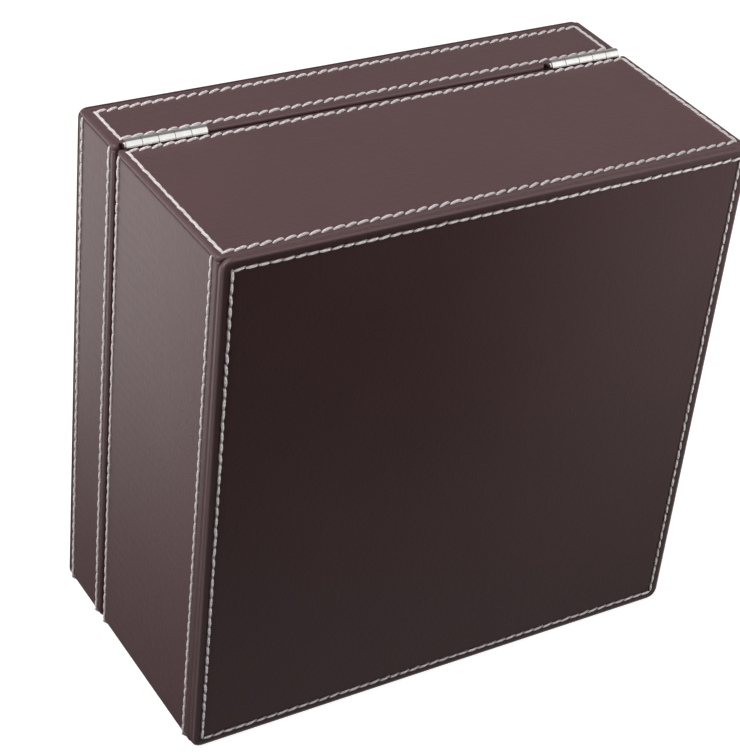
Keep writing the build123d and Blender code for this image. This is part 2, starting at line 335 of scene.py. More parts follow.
@dataclass(frozen=True)
class LeatherFinish:
    """Dark brown imitation leather with a fine pressed grain."""

    colour: Colour = (0.096, 0.047, 0.049)
    deep: Colour = (0.074, 0.035, 0.037)
    patch: float = 38.0 * MM
    cell: float = 0.9 * MM
    cell_tint: float = 0.35
    crease: float = 2.6 * MM
    grain_depth: float = 0.045 * MM
    crease_depth: float = 0.10 * MM
    gloss: tuple[float, float] = (0.35, 0.46)

    def material(self) -> bpy.types.Material:
        """Build the finish.

        Returns:
            The material.
        """
        material, shader = new_shader("leather")
        place = shader.coordinates()
        cells = shader.add(
            "ShaderNodeTexVoronoi",
            {"feature": "SMOOTH_F1"},
            {"Vector": place, "Scale": 1.0 / self.cell, "Smoothness": 0.6, "Randomness": 1.0},
        ).out("Distance")
        creases = shader.noise(place, self.crease, detail=4.0, rough=0.6)
        patches = shader.noise(place, self.patch, detail=2.0)
        tone = shader.mix(patches, self.deep, self.colour)
        tone = shader.mix(cells * self.cell_tint, tone, self.colour)
        rough = self.gloss[0] + creases * (self.gloss[1] - self.gloss[0])
        normal = shader.bump(creases, self.crease_depth)
        normal = shader.bump(1.0 - cells, self.grain_depth, normal)
        shader.surface(Base_Color=tone, Roughness=rough, Normal=normal, Specular_IOR_Level=0.5)
        return material


@dataclass(frozen=True)
class ThreadFinish:
    """Off-white sewing thread of two plies."""

    colour: Colour = (0.82, 0.77, 0.76)
    shaded: Colour = (0.60, 0.54, 0.54)
    plies: float = 2.0
    turns: float = 3.0
    ply_depth: float = 0.05 * MM
    fibre: float = 0.35 * MM
    fibre_share: float = 0.25

    def material(self) -> bpy.types.Material:
        """Build the finish, whose plies follow the stitch's own attributes.

        Returns:
            The material.
        """
        material, shader = new_shader("thread")
        along = shader.add("ShaderNodeAttribute", {"attribute_name": Stitcher.ALONG}).out("Fac")
        around = shader.add("ShaderNodeAttribute", {"attribute_name": Stitcher.AROUND}).out("Fac")
        ply = ((along * self.turns + around * self.plies) * (2.0 * math.pi)).wave()
        fibres = shader.noise(shader.coordinates(), self.fibre, detail=2.0)
        lit = ply * (1.0 - self.fibre_share) + fibres * self.fibre_share
        tone = shader.mix(lit, self.shaded, self.colour)
        normal = shader.bump(ply, self.ply_depth)
        shader.surface(Base_Color=tone, Roughness=0.62, Normal=normal, Specular_IOR_Level=0.3)
        return material


@dataclass(frozen=True)
class ClothFinish:
    """A napped cloth: velvet on the lining, suede on the cushions."""

    name: str
    colour: Colour
    brushed: Colour
    nap: float
    depth: float
    sheen: float
    patch: float = 22.0 * MM
    fibre_share: float = 0.35
    contrast: float = 1.4

    def material(self) -> bpy.types.Material:
        """Build the finish.

        Returns:
            The material.
        """
        material, shader = new_shader(self.name)
        place = shader.coordinates()
        fibres = shader.noise(place, self.nap, detail=4.0, rough=0.7)
        patches = shader.noise(place, self.patch, detail=2.0)
        share = (patches * (1.0 - self.fibre_share) + fibres * self.fibre_share) ** self.contrast
        tone = shader.mix(share, self.colour, self.brushed)
        rough = 0.86 + fibres * 0.12
        normal = shader.bump(fibres, self.depth)
        shader.surface(
            Base_Color=tone,
            Roughness=rough,
            Normal=normal,
            Specular_IOR_Level=0.2,
            Sheen_Weight=self.sheen,
            Sheen_Roughness=0.45,
        )
        return material


@dataclass(frozen=True)
class NickelFinish:
    """Bright nickel plate with faint drawing lines and handling marks."""

    colour: Colour = (0.82, 0.81, 0.79)
    dull: Colour = (0.62, 0.60, 0.58)
    line: float = 0.25 * MM
    line_depth: float = 0.004 * MM
    mark: float = 3.0 * MM

    def material(self) -> bpy.types.Material:
        """Build the finish.

        Returns:
            The material.
        """
        material, shader = new_shader("nickel")
        lines = shader.noise(shader.coordinates((0.05, 1.0, 1.0)), self.line, detail=2.0)
        marks = shader.noise(shader.coordinates(), self.mark, detail=3.0)
        tone = shader.mix(marks ** 2.0, self.colour, self.dull)
        rough = 0.07 + marks * 0.10 + lines * 0.05
        normal = shader.bump(lines, self.line_depth)
        shader.surface(Base_Color=tone, Metallic=1.0, Roughness=rough, Normal=normal)
        return material


@dataclass(frozen=True)
class BoardFinish:
    """Dark stained fibreboard, seen only where nothing covers it."""

    colour: Colour = (0.062, 0.042, 0.034)
    fibre: Colour = (0.038, 0.026, 0.021)
    strand: float = 0.7 * MM
    strand_depth: float = 0.05 * MM

    def material(self) -> bpy.types.Material:
        """Build the finish.

        Returns:
            The material.
        """
        material, shader = new_shader("board")
        strands = shader.noise(shader.coordinates((0.3, 1.0, 1.0)), self.strand, detail=5.0, rough=0.7)
        tone = shader.mix(strands, self.fibre, self.colour)
        shader.surface(Base_Color=tone, Roughness=0.85, Normal=shader.bump(strands, self.strand_depth))
        return material


@dataclass(frozen=True)
class GlassFinish:
    """Clear float glass with a faint film of dust."""

    tint: Colour = (0.94, 0.98, 0.97)
    patch: float = 30.0 * MM
    haze: float = 0.02

    def material(self) -> bpy.types.Material:
        """Build the finish.

        Returns:
            The material.
        """
        material, shader = new_shader("glass")
        film = shader.noise(shader.coordinates(), self.patch, detail=3.0)
        rough = (film ** 4.0) * self.haze
        shader.surface(Base_Color=self.tint, Roughness=rough, Transmission_Weight=1.0, Ior=1.5)
        return material


class Finishes:
    """The materials of the box, built once."""

    def __init__(self) -> None:
        """Build every finish."""
        self.leather = LeatherFinish().material()
        self.thread = ThreadFinish().material()
        self.velvet = ClothFinish(
            name="velvet",
            colour=(0.020, 0.012, 0.010),
            brushed=(0.055, 0.036, 0.030),
            nap=0.5 * MM,
            depth=0.10 * MM,
            sheen=0.6,
        ).material()
        self.suede = ClothFinish(
            name="suede",
            colour=(0.46, 0.37, 0.27),
            brushed=(0.66, 0.57, 0.45),
            nap=0.6 * MM,
            depth=0.12 * MM,
            sheen=0.35,
        ).material()
        self.nickel = NickelFinish().material()
        self.board = BoardFinish().material()
        self.glass = GlassFinish().material()

    def dress(self, node: str, material: bpy.types.Material, sharp: float = 30.0) -> None:
        """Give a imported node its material, and smooth shading up to an angle.

        Args:
            node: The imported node's name.
            material: What it is finished in.
            sharp: Edges that turn by more degrees stay sharp.
        """
        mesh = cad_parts[node].data
        mesh.materials.clear()
        mesh.materials.append(material)
        mesh.set_sharp_from_angle(angle=math.radians(sharp))
        mesh.polygons.foreach_set("use_smooth", [True] * len(mesh.polygons))
        LOG.info("dressed %s in %s", node, material.name)


class Shell:
    """A mesh built from rings of points, each bridged to the next."""

    MERGE = 0.002 * MM

    def __init__(self, name: str) -> None:
        """Start an empty shell of a name."""
        self.name = name
        self.points: list[Vector] = []
        self.faces: list[tuple[int, ...]] = []

    def ring(self, points: Iterable[Vector]) -> list[int]:
        """Add a ring of points.

        Args:
            points: The ring's points in order.

        Returns:
            Their numbers.
        """
        start = len(self.points)
        self.points.extend(points)
        return list(range(start, len(self.points)))

    def bridge(self, first: Sequence[int], second: Sequence[int]) -> None:
        """Join two closed rings of as many points by faces.

        Args:
            first: The numbers of one ring's points.
            second: The numbers of the other's.
        """
        for here in range(len(first)):
            after = (here + 1) % len(first)
            self.faces.append((first[here], first[after], second[after], second[here]))

    def loft(self, rings: Sequence[Sequence[int]], joined: bool = False) -> None:
        """Bridge closed rings one after another.

        Args:
            rings: The rings in order.
            joined: Whether the last is bridged to the first; otherwise both ends are capped.
        """
        for first, second in zip(rings, rings[1:]):
            self.bridge(first, second)
        if joined:
            self.bridge(rings[-1], rings[0])
        else:
            self.faces.append(tuple(reversed(rings[0])))
            self.faces.append(tuple(rings[-1]))

    def build(self, material: bpy.types.Material, sharp: float = 40.0) -> bpy.types.Object:
        """Make the object.

        Args:
            material: Its finish.
            sharp: Edges that turn by more degrees stay sharp.

        Returns:
            The object, at the origin, with merged points and faces that point outwards.
        """
        mesh = bpy.data.meshes.new(self.name)
        shape = bmesh.new()
        verts = [shape.verts.new(point) for point in self.points]
        for face in self.faces:
            corners = [verts[index] for index in face]
            if len(set(corners)) > 2:
                shape.faces.new(corners)
        bmesh.ops.remove_doubles(shape, verts=shape.verts, dist=self.MERGE)
        bmesh.ops.dissolve_degenerate(shape, edges=shape.edges, dist=self.MERGE)
        bmesh.ops.recalc_face_normals(shape, faces=shape.faces)
        shape.to_mesh(mesh)
        shape.free()
        mesh.materials.append(material)
        mesh.polygons.foreach_set("use_smooth", [True] * len(mesh.polygons))
        mesh.set_sharp_from_angle(angle=math.radians(sharp))
        item = bpy.data.objects.new(self.name, mesh)
        bpy.context.scene.collection.objects.link(item)
        return item


def settle(item: bpy.types.Object, body: str, slot: Slot, *nodes: str) -> bpy.types.Object:
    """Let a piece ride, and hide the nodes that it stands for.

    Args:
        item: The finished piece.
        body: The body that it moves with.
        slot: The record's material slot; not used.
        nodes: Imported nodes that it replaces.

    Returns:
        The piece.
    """
    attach(item, body)
    if nodes:
        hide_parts(*nodes)
    LOG.info("%s rides on %s with %d faces", item.name, body, len(item.data.polygons))
    return item


@dataclass(frozen=True)
class Seam:
    """How the thread sits in the leather."""

    pitch: float = 4.2 * MM
    inset: float = 3.5 * MM
    dip: float = 0.34 * MM
    reach: float = 1.7 * MM
    samples: int = 4

    def channel(self, reach: Optional[float] = None) -> list[tuple[float, float]]:
        """Return the channel across a row.

        Args:
            reach: Half its width, where that is less than usual.

        Returns:
            Pairs of distance from the row and share of the full dip.
        """
        half = reach or self.reach
        shares = ((-1.0, 0.0), (-0.62, 0.22), (-0.3, 0.74), (0.0, 1.0), (0.3, 0.74), (0.62, 0.22), (1.0, 0.0))
        return [(share * half, depth) for share, depth in shares]

    def pull(self, phase: float) -> float:
        """Return how far a spot is pulled in, where whole phases are needle holes."""
        return self.dip * (0.62 + 0.38 * math.cos(2.0 * math.pi * phase))

    def count(self, length: float) -> int:
        """Return how many stitches a row of a length holds."""
        return max(1, round(length / self.pitch))


@dataclass
class StitchRow:
    """Where the stitches of one row sit, and how much of the full slant they lean by."""

    lean: float = 1.0
    centres: list[Vector] = field(default_factory=list)
    along: list[Vector] = field(default_factory=list)
    outward: list[Vector] = field(default_factory=list)

    def straight(self, start: Vector, end: Vector, outward: Vector, seam: Seam) -> "StitchRow":
        """Fill the row along a line.

        Args:
            start: Its first needle hole.
            end: Its last needle hole.
            outward: The way that the leather faces.
            seam: The seam's sizes.

        Returns:
            The row.
        """
        number = seam.count((end - start).length)
        for index in range(number):
            self.centres.append(start.lerp(end, (index + 0.5) / number))
            self.along.append((end - start).normalized())
            self.outward.append(outward)
        return self


def arc_points(radius: float, steps: int) -> list[Point2]:
    """Return a quarter circle from (0, radius) to (radius, 0) about the origin, as (across, up)."""
    turns = [math.pi / 2 * step / steps for step in range(steps + 1)]
    return [(radius * math.sin(turn), radius * math.cos(turn)) for turn in turns]


@dataclass(frozen=True)
class PanelOutline:
    """The outline of a flat stitched panel about its middle, sampled a few times a stitch."""

    width: float
    height: float
    corner: float
    seam: Seam
    turns: int = 4
    least: float = 0.25 * MM

    def sides(self, inset: float) -> tuple[int, int]:
        """Return how many stitches the rows at an inset have along the width and the height."""
        return self.seam.count(self.width - 2 * inset), self.seam.count(self.height - 2 * inset)

    def ring(self, inset: float) -> list[tuple[float, float, float, int]]:
        """Return the outline drawn in by an inset.

        Args:
            inset: How far inside the panel's edge it lies.

        Returns:
            For each point its place across and up, its share of the side and the side's number.
        """
        radius = max(self.corner - inset, self.least)
        half = (self.width / 2 - inset, self.height / 2 - inset)
        wide, high = self.sides(self.seam.inset)
        points: list[tuple[float, float, float, int]] = []
        for side in range(4):
            turn = Matrix.Rotation(math.pi / 2 * side, 2)
            across, up = half if side % 2 == 0 else half[::-1]
            steps = self.seam.samples * (wide if side % 2 == 0 else high)
            run = across - radius
            for step in range(steps + 1):
                share = step / steps
                place = turn @ Vector((-run + 2 * run * share, -up))
                points.append((place.x, place.y, share, side))
            for step in range(1, self.turns):
                angle = math.pi / 2 * step / self.turns
                bend = (run + radius * math.sin(angle), -up + radius - radius * math.cos(angle))
                place = turn @ Vector(bend)
                points.append((place.x, place.y, 0.0, side))
        return points


@dataclass(frozen=True)
class Contour:
    """One ring of a panel: how far in it lies, how high it stands and how deep a seam pulls it."""

    inset: float
    height: float
    dip: float = 0.0
    row: float = 0.0


@dataclass(frozen=True)
class Wrap:
    """Sizes of the leather wrapped round a board, from its hidden face to its stitched one.

    Attributes:
        thick: Height of the stitched face over the hidden one.
        edge: Radius of the edge round the stitched face.
        shoulder: Radius of the edge round the hidden face.
        turned_in: How far inside the outline the hidden face's first ring lies.
        lip: How far inside the shoulder its second ring lies.
        margin: Leather kept between the edge and the seam's channel.
        edge_steps: How many faces round the edge.
        shoulder_steps: How many faces round the shoulder.
    """

    thick: float
    edge: float
    shoulder: float
    turned_in: float
    lip: float
    margin: float
    edge_steps: int
    shoulder_steps: int


class PanelSkin:
    """A padded leather panel with rounded edges and a stitched channel."""

    FACE_START = 0.15 * MM
    FLAT_RINGS = (3.0 * MM, 6.0 * MM)

    def __init__(self, name: str, outline: PanelOutline, place: Place) -> None:
        """Keep what the panel is built from.

        Args:
            name: The piece's name.
            outline: Its outline.
            place: Turns across, up and height into a point of the frame.
        """
        self.name = name
        self.outline = outline
        self.place = place
        self.notch: Optional[Notch] = None

    def seam_contours(self, row: float, height: float, reach: Optional[float] = None) -> list[Contour]:
        """Return the rings of one stitched channel."""
        return [Contour(row + off, height, share, row) for off, share in self.outline.seam.channel(reach)]

    def wrapped(self, wrap: Wrap) -> list[Contour]:
        """Return the rings of leather wrapped round a board.

        Args:
            wrap: The sizes of the wrapping.

        Returns:
            The rings, from the hidden face to the middle of the stitched one.
        """
        seam, thick, edge, shoulder = self.outline.seam, wrap.thick, wrap.edge, wrap.shoulder
        rings = [Contour(wrap.turned_in, 0.0), Contour(shoulder + wrap.lip, 0.0)]
        for across, up in arc_points(shoulder, wrap.shoulder_steps):
            rings.append(Contour(shoulder - across, shoulder - up))
        for across, up in reversed(arc_points(edge, wrap.edge_steps)):
            rings.append(Contour(edge - across, thick - edge + up))
        rings.append(Contour(edge + self.FACE_START, thick))
        reach = min(seam.reach, seam.inset - edge - wrap.margin)
        rings += self.seam_contours(seam.inset, thick, reach)
        rings += [Contour(seam.inset + past, thick) for past in self.FLAT_RINGS]
        return rings

    def points(self, contour: Contour) -> list[Vector]:
        """Return one ring's points in the frame.

        Args:
            contour: The ring.

        Returns:
            Its points in order, pulled in where the thread pulls.
        """
        counts = self.outline.sides(contour.row)
        made = []
        for across, up, share, side in self.outline.ring(contour.inset):
            pull = contour.dip * self.outline.seam.pull(share * counts[side % 2]) if contour.dip else 0.0
            if self.notch:
                across, up = self.notch(across, up, contour.inset)
            made.append(self.place(across, up, contour.height - pull))
        return made

    def build(
        self, contours: Sequence[Contour], material: bpy.types.Material, joined: bool
    ) -> bpy.types.Object:
        """Make the panel from its rings.

        Args:
            contours: The rings in order.
            material: Its finish.
            joined: Whether the last ring is bridged to the first; otherwise both ends are capped.

        Returns:
            The panel's object.
        """
        shell = Shell(self.name)
        shell.loft([shell.ring(self.points(contour)) for contour in contours], joined)
        return shell.build(material)

    def rows(self, inset: float, height: float, normal: Vector, leans: Point2) -> list[StitchRow]:
        """Return the four rows of stitches at an inset.

        Args:
            inset: How far inside the edge they run.
            height: The height of the leather there.
            normal: The way that the panel faces.
            leans: Shares of the full slant along the width and the height.

        Returns:
            One row for each side.
        """
        half = (self.outline.width / 2 - inset, self.outline.height / 2 - inset)
        corners = [(-half[0], -half[1]), (half[0], -half[1]), (half[0], half[1]), (-half[0], half[1])]
        spots = [self.place(across, up, height) for across, up in corners]
        seam = self.outline.seam
        ends = zip(spots, spots[1:] + spots[:1], leans * 2)
        return [StitchRow(lean).straight(start, end, normal, seam) for start, end, lean in ends]


class Stitcher:
    """Sews rows of stitches with Geometry Nodes."""

    ALONG = "thread_along"
    AROUND = "thread_around"
    HEADING = "stitch_heading"
    OUTWARD = "stitch_outward"
    LEAN = "stitch_lean"
    SHOULDER = 0.86
    WANDER = 1.6
    STRETCH = 0.4

    def __init__(self, material: bpy.types.Material) -> None:
        """Build the tree that every row uses.

        Args:
            material: The thread's finish.
        """
        self.material = material
        self.tree = bpy.data.node_groups.new("sewn_stitches", "GeometryNodeTree")
        self.sizes = {
            "Stitch Length": 4.75 * MM,
            "Thread Radius": 0.61 * MM,
            "Rise": 0.60 * MM,
            "Sink": 0.14 * MM,
            "Flatness": 0.72,
            "Slant": math.radians(16.0),
            "Unevenness": 0.06,
        }
        self.seed = 7
        self._build()

    def _add(self, kind: str, settings: Optional[dict] = None, **sockets: object) -> bpy.types.Node:
        """Add a node of the tree.

        Args:
            kind: The node's type.
            settings: Its own settings, which are set first.
            sockets: Values or links of its inputs, by name with underscores for spaces.

        Returns:
            The node.
        """
        node = self.tree.nodes.new(kind)
        for name, value in (settings or {}).items():
            setattr(node, name, value)
        for name, value in sockets.items():
            wanted = name.replace("_", " ")
            socket = next(s for s in node.inputs if s.name == wanted and not s.is_unavailable)
            if isinstance(value, bpy.types.NodeSocket):
                self.tree.links.new(value, socket)
            else:
                socket.default_value = value
        return node

    def _maths(self, operation: str, first: object, second: object) -> bpy.types.NodeSocket:
        """Add one Math node to the tree.

        Args:
            operation: The Math node's operation.
            first: Its first value or link.
            second: Its second value or link.

        Returns:
            The node's result.
        """
        node = self.tree.nodes.new("ShaderNodeMath")
        node.operation = operation
        for socket, value in zip(node.inputs, (first, second)):
            if isinstance(value, bpy.types.NodeSocket):
                self.tree.links.new(value, socket)
            else:
                socket.default_value = value
        return node.outputs[0]

    def _vector(self, x: object, y: object, z: object) -> bpy.types.NodeSocket:
        """Combine three values into a vector."""
        return self._add("ShaderNodeCombineXYZ", None, X=x, Y=y, Z=z).outputs[0]

    def _random(self, low: object, high: object, seed: object) -> bpy.types.NodeSocket:
        """Add a random value between two bounds."""
        node = self._add("FunctionNodeRandomValue", {"data_type": "FLOAT"}, Min=low, Max=high, Seed=seed)
        return next(s for s in node.outputs if s.enabled)

    def _read(self, kind: str, name: str) -> bpy.types.NodeSocket:
        """Read an attribute of the rows' points."""
        return self._add("GeometryNodeInputNamedAttribute", {"data_type": kind}, Name=name).outputs[0]

    def _build(self) -> None:
        """Build the tree: one flattened loop of thread, placed on every point of the rows."""
        sockets = self.tree.interface
        sockets.new_socket(name="Rows", in_out="INPUT", socket_type="NodeSocketGeometry")
        for name, value in self.sizes.items():
            size = sockets.new_socket(name=name, in_out="INPUT", socket_type="NodeSocketFloat")
            size.default_value = value
        seed = sockets.new_socket(name="Seed", in_out="INPUT", socket_type="NodeSocketInt")
        seed.default_value = self.seed
        sockets.new_socket(name="Thread", in_out="INPUT", socket_type="NodeSocketMaterial")
        sockets.new_socket(name="Stitches", in_out="OUTPUT", socket_type="NodeSocketGeometry")
        given = self.tree.nodes.new("NodeGroupInput").outputs
        half = self._maths("MULTIPLY", given["Stitch Length"], 0.5)
        shoulder = self._maths("MULTIPLY", half, self.SHOULDER)
        down = self._maths("MULTIPLY", given["Sink"], -1.0)
        arch = self._add(
            "GeometryNodeCurvePrimitiveBezierSegment",
            {"mode": "POSITION"},
            Resolution=7,
            Start=self._vector(self._maths("MULTIPLY", half, -1.0), 0.0, down),
            Start_Handle=self._vector(self._maths("MULTIPLY", shoulder, -1.0), 0.0, given["Rise"]),
            End_Handle=self._vector(shoulder, 0.0, given["Rise"]),
            End=self._vector(half, 0.0, down),
        ).outputs[0]
        arch = self._add("GeometryNodeResampleCurve", {"mode": "COUNT"}, Curve=arch, Count=8).outputs[0]
        share = self._add("GeometryNodeSplineParameter").outputs["Factor"]
        marked = self._add(
            "GeometryNodeStoreNamedAttribute",
            {"data_type": "FLOAT", "domain": "POINT"},
            Geometry=arch,
            Name=self.ALONG,
            Value=share,
        ).outputs[0]
        hump = self._maths("SINE", self._maths("MULTIPLY", share, math.pi), 0.0)
        hump = self._maths("POWER", self._maths("MAXIMUM", hump, 0.0), 0.5)
        fullness = self._maths("ADD", self._maths("MULTIPLY", hump, 0.5), 0.5)
        circle = self._add(
            "GeometryNodeCurvePrimitiveCircle",
            {"mode": "RADIUS"},
            Resolution=6,
            Radius=given["Thread Radius"],
        ).outputs[0]
        section = self._add(
            "GeometryNodeStoreNamedAttribute",
            {"data_type": "FLOAT", "domain": "POINT"},
            Geometry=circle,
            Name=self.AROUND,
            Value=self._add("GeometryNodeSplineParameter").outputs["Factor"],
        ).outputs[0]
        thread = self._add(
            "GeometryNodeCurveToMesh",
            None,
            Curve=marked,
            Profile_Curve=section,
            Scale=fullness,
            Fill_Caps=True,
        ).outputs[0]
        thread = self._add("GeometryNodeSetShadeSmooth", None, Geometry=thread, Shade_Smooth=True).outputs[0]
        pressed = self._vector(1.0, 1.0, given["Flatness"])
        thread = self._add("GeometryNodeTransform", None, Geometry=thread, Scale=pressed).outputs[0]
        upright = self._add(
            "FunctionNodeAxesToRotation",
            {"primary_axis": "Z", "secondary_axis": "X"},
            Primary_Axis=self._read("FLOAT_VECTOR", self.OUTWARD),
            Secondary_Axis=self._read("FLOAT_VECTOR", self.HEADING),
        ).outputs[0]
        slant = self._maths("MULTIPLY", given["Slant"], self._read("FLOAT", self.LEAN))
        uneven = given["Unevenness"]
        left, right = (self._maths("MULTIPLY", uneven, side * self.WANDER) for side in (-1.0, 1.0))
        wander = self._random(left, right, given["Seed"])
        lean = self._add(
            "FunctionNodeAxisAngleToRotation",
            None,
            Axis=(0.0, 0.0, 1.0),
            Angle=self._maths("ADD", slant, wander),
        ).outputs[0]
        turned = self._add(
            "FunctionNodeRotateRotation", {"rotation_space": "LOCAL"}, Rotation=upright, Rotate_By=lean
        ).outputs[0]
        low = self._maths("SUBTRACT", 1.0, uneven)
        high = self._maths("ADD", 1.0, self._maths("MULTIPLY", uneven, self.STRETCH))
        scale = self._random(low, high, self._maths("ADD", given["Seed"], 1.0))
        stitches = self._add(
            "GeometryNodeInstanceOnPoints",
            None,
            Points=given["Rows"],
            Instance=thread,
            Rotation=turned,
            Scale=scale,
        ).outputs[0]
        real = self._add("GeometryNodeRealizeInstances", None, Geometry=stitches).outputs[0]
        done = self._add("GeometryNodeSetMaterial", None, Geometry=real, Material=given["Thread"]).outputs[0]
        self.tree.links.new(done, self.tree.nodes.new("NodeGroupOutput").inputs[0])

    def sew(self, name: str, rows: Sequence[StitchRow]) -> bpy.types.Object:
        """Sew rows into one plain mesh.

        Args:
            name: The piece's name.
            rows: The rows that it holds.

        Returns:
            The stitches' object.
        """
        centres = [spot for row in rows for spot in row.centres]
        mesh = bpy.data.meshes.new(f"{name}_rows")
        mesh.from_pydata(centres, [], [])
        for label, vectors in (
            (self.HEADING, [way for row in rows for way in row.along]),
            (self.OUTWARD, [way for row in rows for way in row.outward]),
        ):
            attribute = mesh.attributes.new(label, "FLOAT_VECTOR", "POINT")
            attribute.data.foreach_set("vector", [value for way in vectors for value in way])
        leans = mesh.attributes.new(self.LEAN, "FLOAT", "POINT")
        leans.data.foreach_set("value", [row.lean for row in rows for _ in row.centres])
        holder = bpy.data.objects.new(f"{name}_rows", mesh)
        bpy.context.scene.collection.objects.link(holder)
        sewn = holder.modifiers.new("stitches", "NODES")
        sewn.node_group = self.tree
        wanted = [item for item in self.tree.interface.items_tree if item.in_out == "INPUT"]
        inputs = {item.name: item.identifier for item in wanted}
        for label, value in self.sizes.items():
            sewn[inputs[label]] = value
        sewn[inputs["Seed"]] = self.seed
        sewn[inputs["Thread"]] = self.material
        made = bpy.data.meshes.new_from_object(holder.evaluated_get(bpy.context.evaluated_depsgraph_get()))
        bpy.data.objects.remove(holder)
        made.name = name
        item = bpy.data.objects.new(name, made)
        bpy.context.scene.collection.objects.link(item)
        LOG.info("%s has %d stitches", name, len(centres))
        return item


@dataclass(frozen=True)
class Carcass:
    """Sizes of the boxes of boards that the leather covers, read from the frame."""

    half: float
    front: float
    back: float
    skin: float
    panel: float
    inside: Extent
    corner: float = 3.0 * MM

    @classmethod
    def of(cls, inside: Extent) -> "Carcass":
        """Read the sizes that the base and the lid share.

        Args:
            inside: The room inside one of them.

        Returns:
            The sizes.
        """
        band = Extent.of("base_band")
        board = Extent.of("base_front_wall", "base_back_wall")
        panel = Extent.of("base_back_panel")
        skin, padding = band.right - board.right, panel.back - board.back
        return cls(band.right, band.front, panel.back, skin, padding, inside)

    @property
    def board_back(self) -> float:
        """The plane behind the back board, where the back panel starts."""
        return self.back - self.panel


class LeatherBand:
    """The strip round the left, front and right of the base or the lid, turned over the rim."""

    LEAN = 0.25
    TURN = 0.4 * MM
    MARGIN = 0.02 * MM

    def __init__(
        self,
        name: str,
        body: Body,
        carcass: Carcass,
        rim: float,
        far: float,
        rows: Point2,
        seam: Seam,
    ) -> None:
        """Keep what the band is built from.

        Args:
            name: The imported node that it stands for.
            body: The body that it rides on.
            carcass: The boards' sizes.
            rim: Height of its rim.
            far: Height of its other edge.
            rows: Distances of the two rows of stitches from the rim.
            seam: The seam's sizes.
        """
        self.name = name
        self.body = body
        self.carcass = carcass
        self.rim = rim
        self.into = 1.0 if far > rim else -1.0
        self.height = abs(far - rim)
        self.rows_from_rim = rows
        self.seam = seam
        self.edge = LEATHER_EDGE
        self.straight = carcass.board_back - carcass.front - carcass.corner
        self.bend = math.pi / 2 * carcass.corner
        self.face = 2 * (carcass.half - carcass.corner)
        self.length = 2 * self.straight + 2 * self.bend + self.face
        self.stitches = seam.count(self.length)

    def spot(self, along: float, inset: float) -> Point2:
        """Return a plan point of the band.

        Args:
            along: Distance from its back left end, along the outside.
            inset: How far inside the outside it lies.

        Returns:
            Its place across and from front to back.
        """
        box = self.carcass
        mirrored = along > self.length / 2
        run = self.length - along if mirrored else along
        if run <= self.straight:
            x, y = -box.half + inset, box.board_back - run
        elif run <= self.straight + self.bend:
            angle = (run - self.straight) / box.corner
            radius = max(box.corner - inset, 0.0)
            x = -box.half + box.corner - radius * math.cos(angle)
            y = box.front + box.corner - radius * math.sin(angle)
        else:
            x, y = -box.half + box.corner + run - self.straight - self.bend, box.front + inset
        x = max(x, -box.half + inset)
        y = max(y, box.front + inset)
        y = min(y, box.board_back - max(0.0, inset - box.skin))
        return (-x if mirrored else x), y

    def profile(self) -> list[tuple[float, float, float, bool]]:
        """Return the band's section as inset, distance from the rim, dip and whether it is on the outside."""
        skin, edge, end = self.carcass.skin, self.edge, self.carcass.half - self.carcass.inside.right
        near, away = self.rows_from_rim
        section: list[tuple[float, float, float, bool]] = [(skin, self.height, 0.0, False)]
        section += [(edge - across, self.height - edge + up, 0.0, True) for across, up in arc_points(edge, 4)]
        section += [(0.0, away - off, share, True) for off, share in self.seam.channel()]
        reach = min(self.seam.reach, near - edge - self.MARGIN)
        section += [(0.0, near - off, share, True) for off, share in self.seam.channel(reach)]
        section += [(edge - up, edge - across, 0.0, True) for across, up in arc_points(edge, 4)]
        section += [(edge + self.TURN, 0.0, 0.0, False), (end - self.TURN, 0.0, 0.0, False)]
        section += [(end, self.TURN, 0.0, False), (end, skin, 0.0, False), (skin, skin, 0.0, False)]
        return section

    def stations(self) -> list[float]:
        """Return where along the band its rings stand, closer together at its two rounded ends."""
        steps = self.seam.samples * self.stitches
        even = [self.length * step / steps for step in range(1, steps)]
        ends = [self.edge * share for share in (0.0, 0.08, 0.3, 0.65)]
        return ends + even + [self.length - end for end in reversed(ends)]

    def build(self, material: bpy.types.Material) -> bpy.types.Object:
        """Build the band.

        Args:
            material: The leather.

        Returns:
            Its object.
        """
        shell = Shell(f"{self.name}_skin")
        section = self.profile()
        rings = []
        for along in self.stations():
            left = max(0.0, self.edge - min(along, self.length - along))
            rounding = self.edge - math.sqrt(max(0.0, self.edge**2 - left**2))
            phase = along / self.length * self.stitches
            ring = []
            for inset, down, share, outside in section:
                drawn = inset + (share * self.seam.pull(phase) if share else 0.0)
                if outside:
                    drawn = max(drawn, rounding)
                x, y = self.spot(along, drawn)
                ring.append(Vector((x, y, self.rim + self.into * down)))
            rings.append(shell.ring(ring))
        shell.loft(rings)
        return settle(shell.build(material), self.body.value, Slot.LEATHER, self.name)

    def rows(self) -> list[StitchRow]:
        """Return its two rows of stitches, which tuck in under the back panel at both ends."""
        made = []
        for down in self.rows_from_rim:
            row = StitchRow(lean=self.LEAN)
            for index in range(self.stitches):
                along = self.length * (index + 0.5) / self.stitches
                x, y = self.spot(along, self.seam.dip * 0.5)
                before, after = self.spot(along - MM, 0.0), self.spot(along + MM, 0.0)
                way = Vector((after[0] - before[0], after[1] - before[1], 0.0)).normalized()
                row.centres.append(Vector((x, y, self.rim + self.into * down)))
                row.along.append(way)
                row.outward.append(Vector((way.y, -way.x, 0.0)))
            made.append(row)
        return made


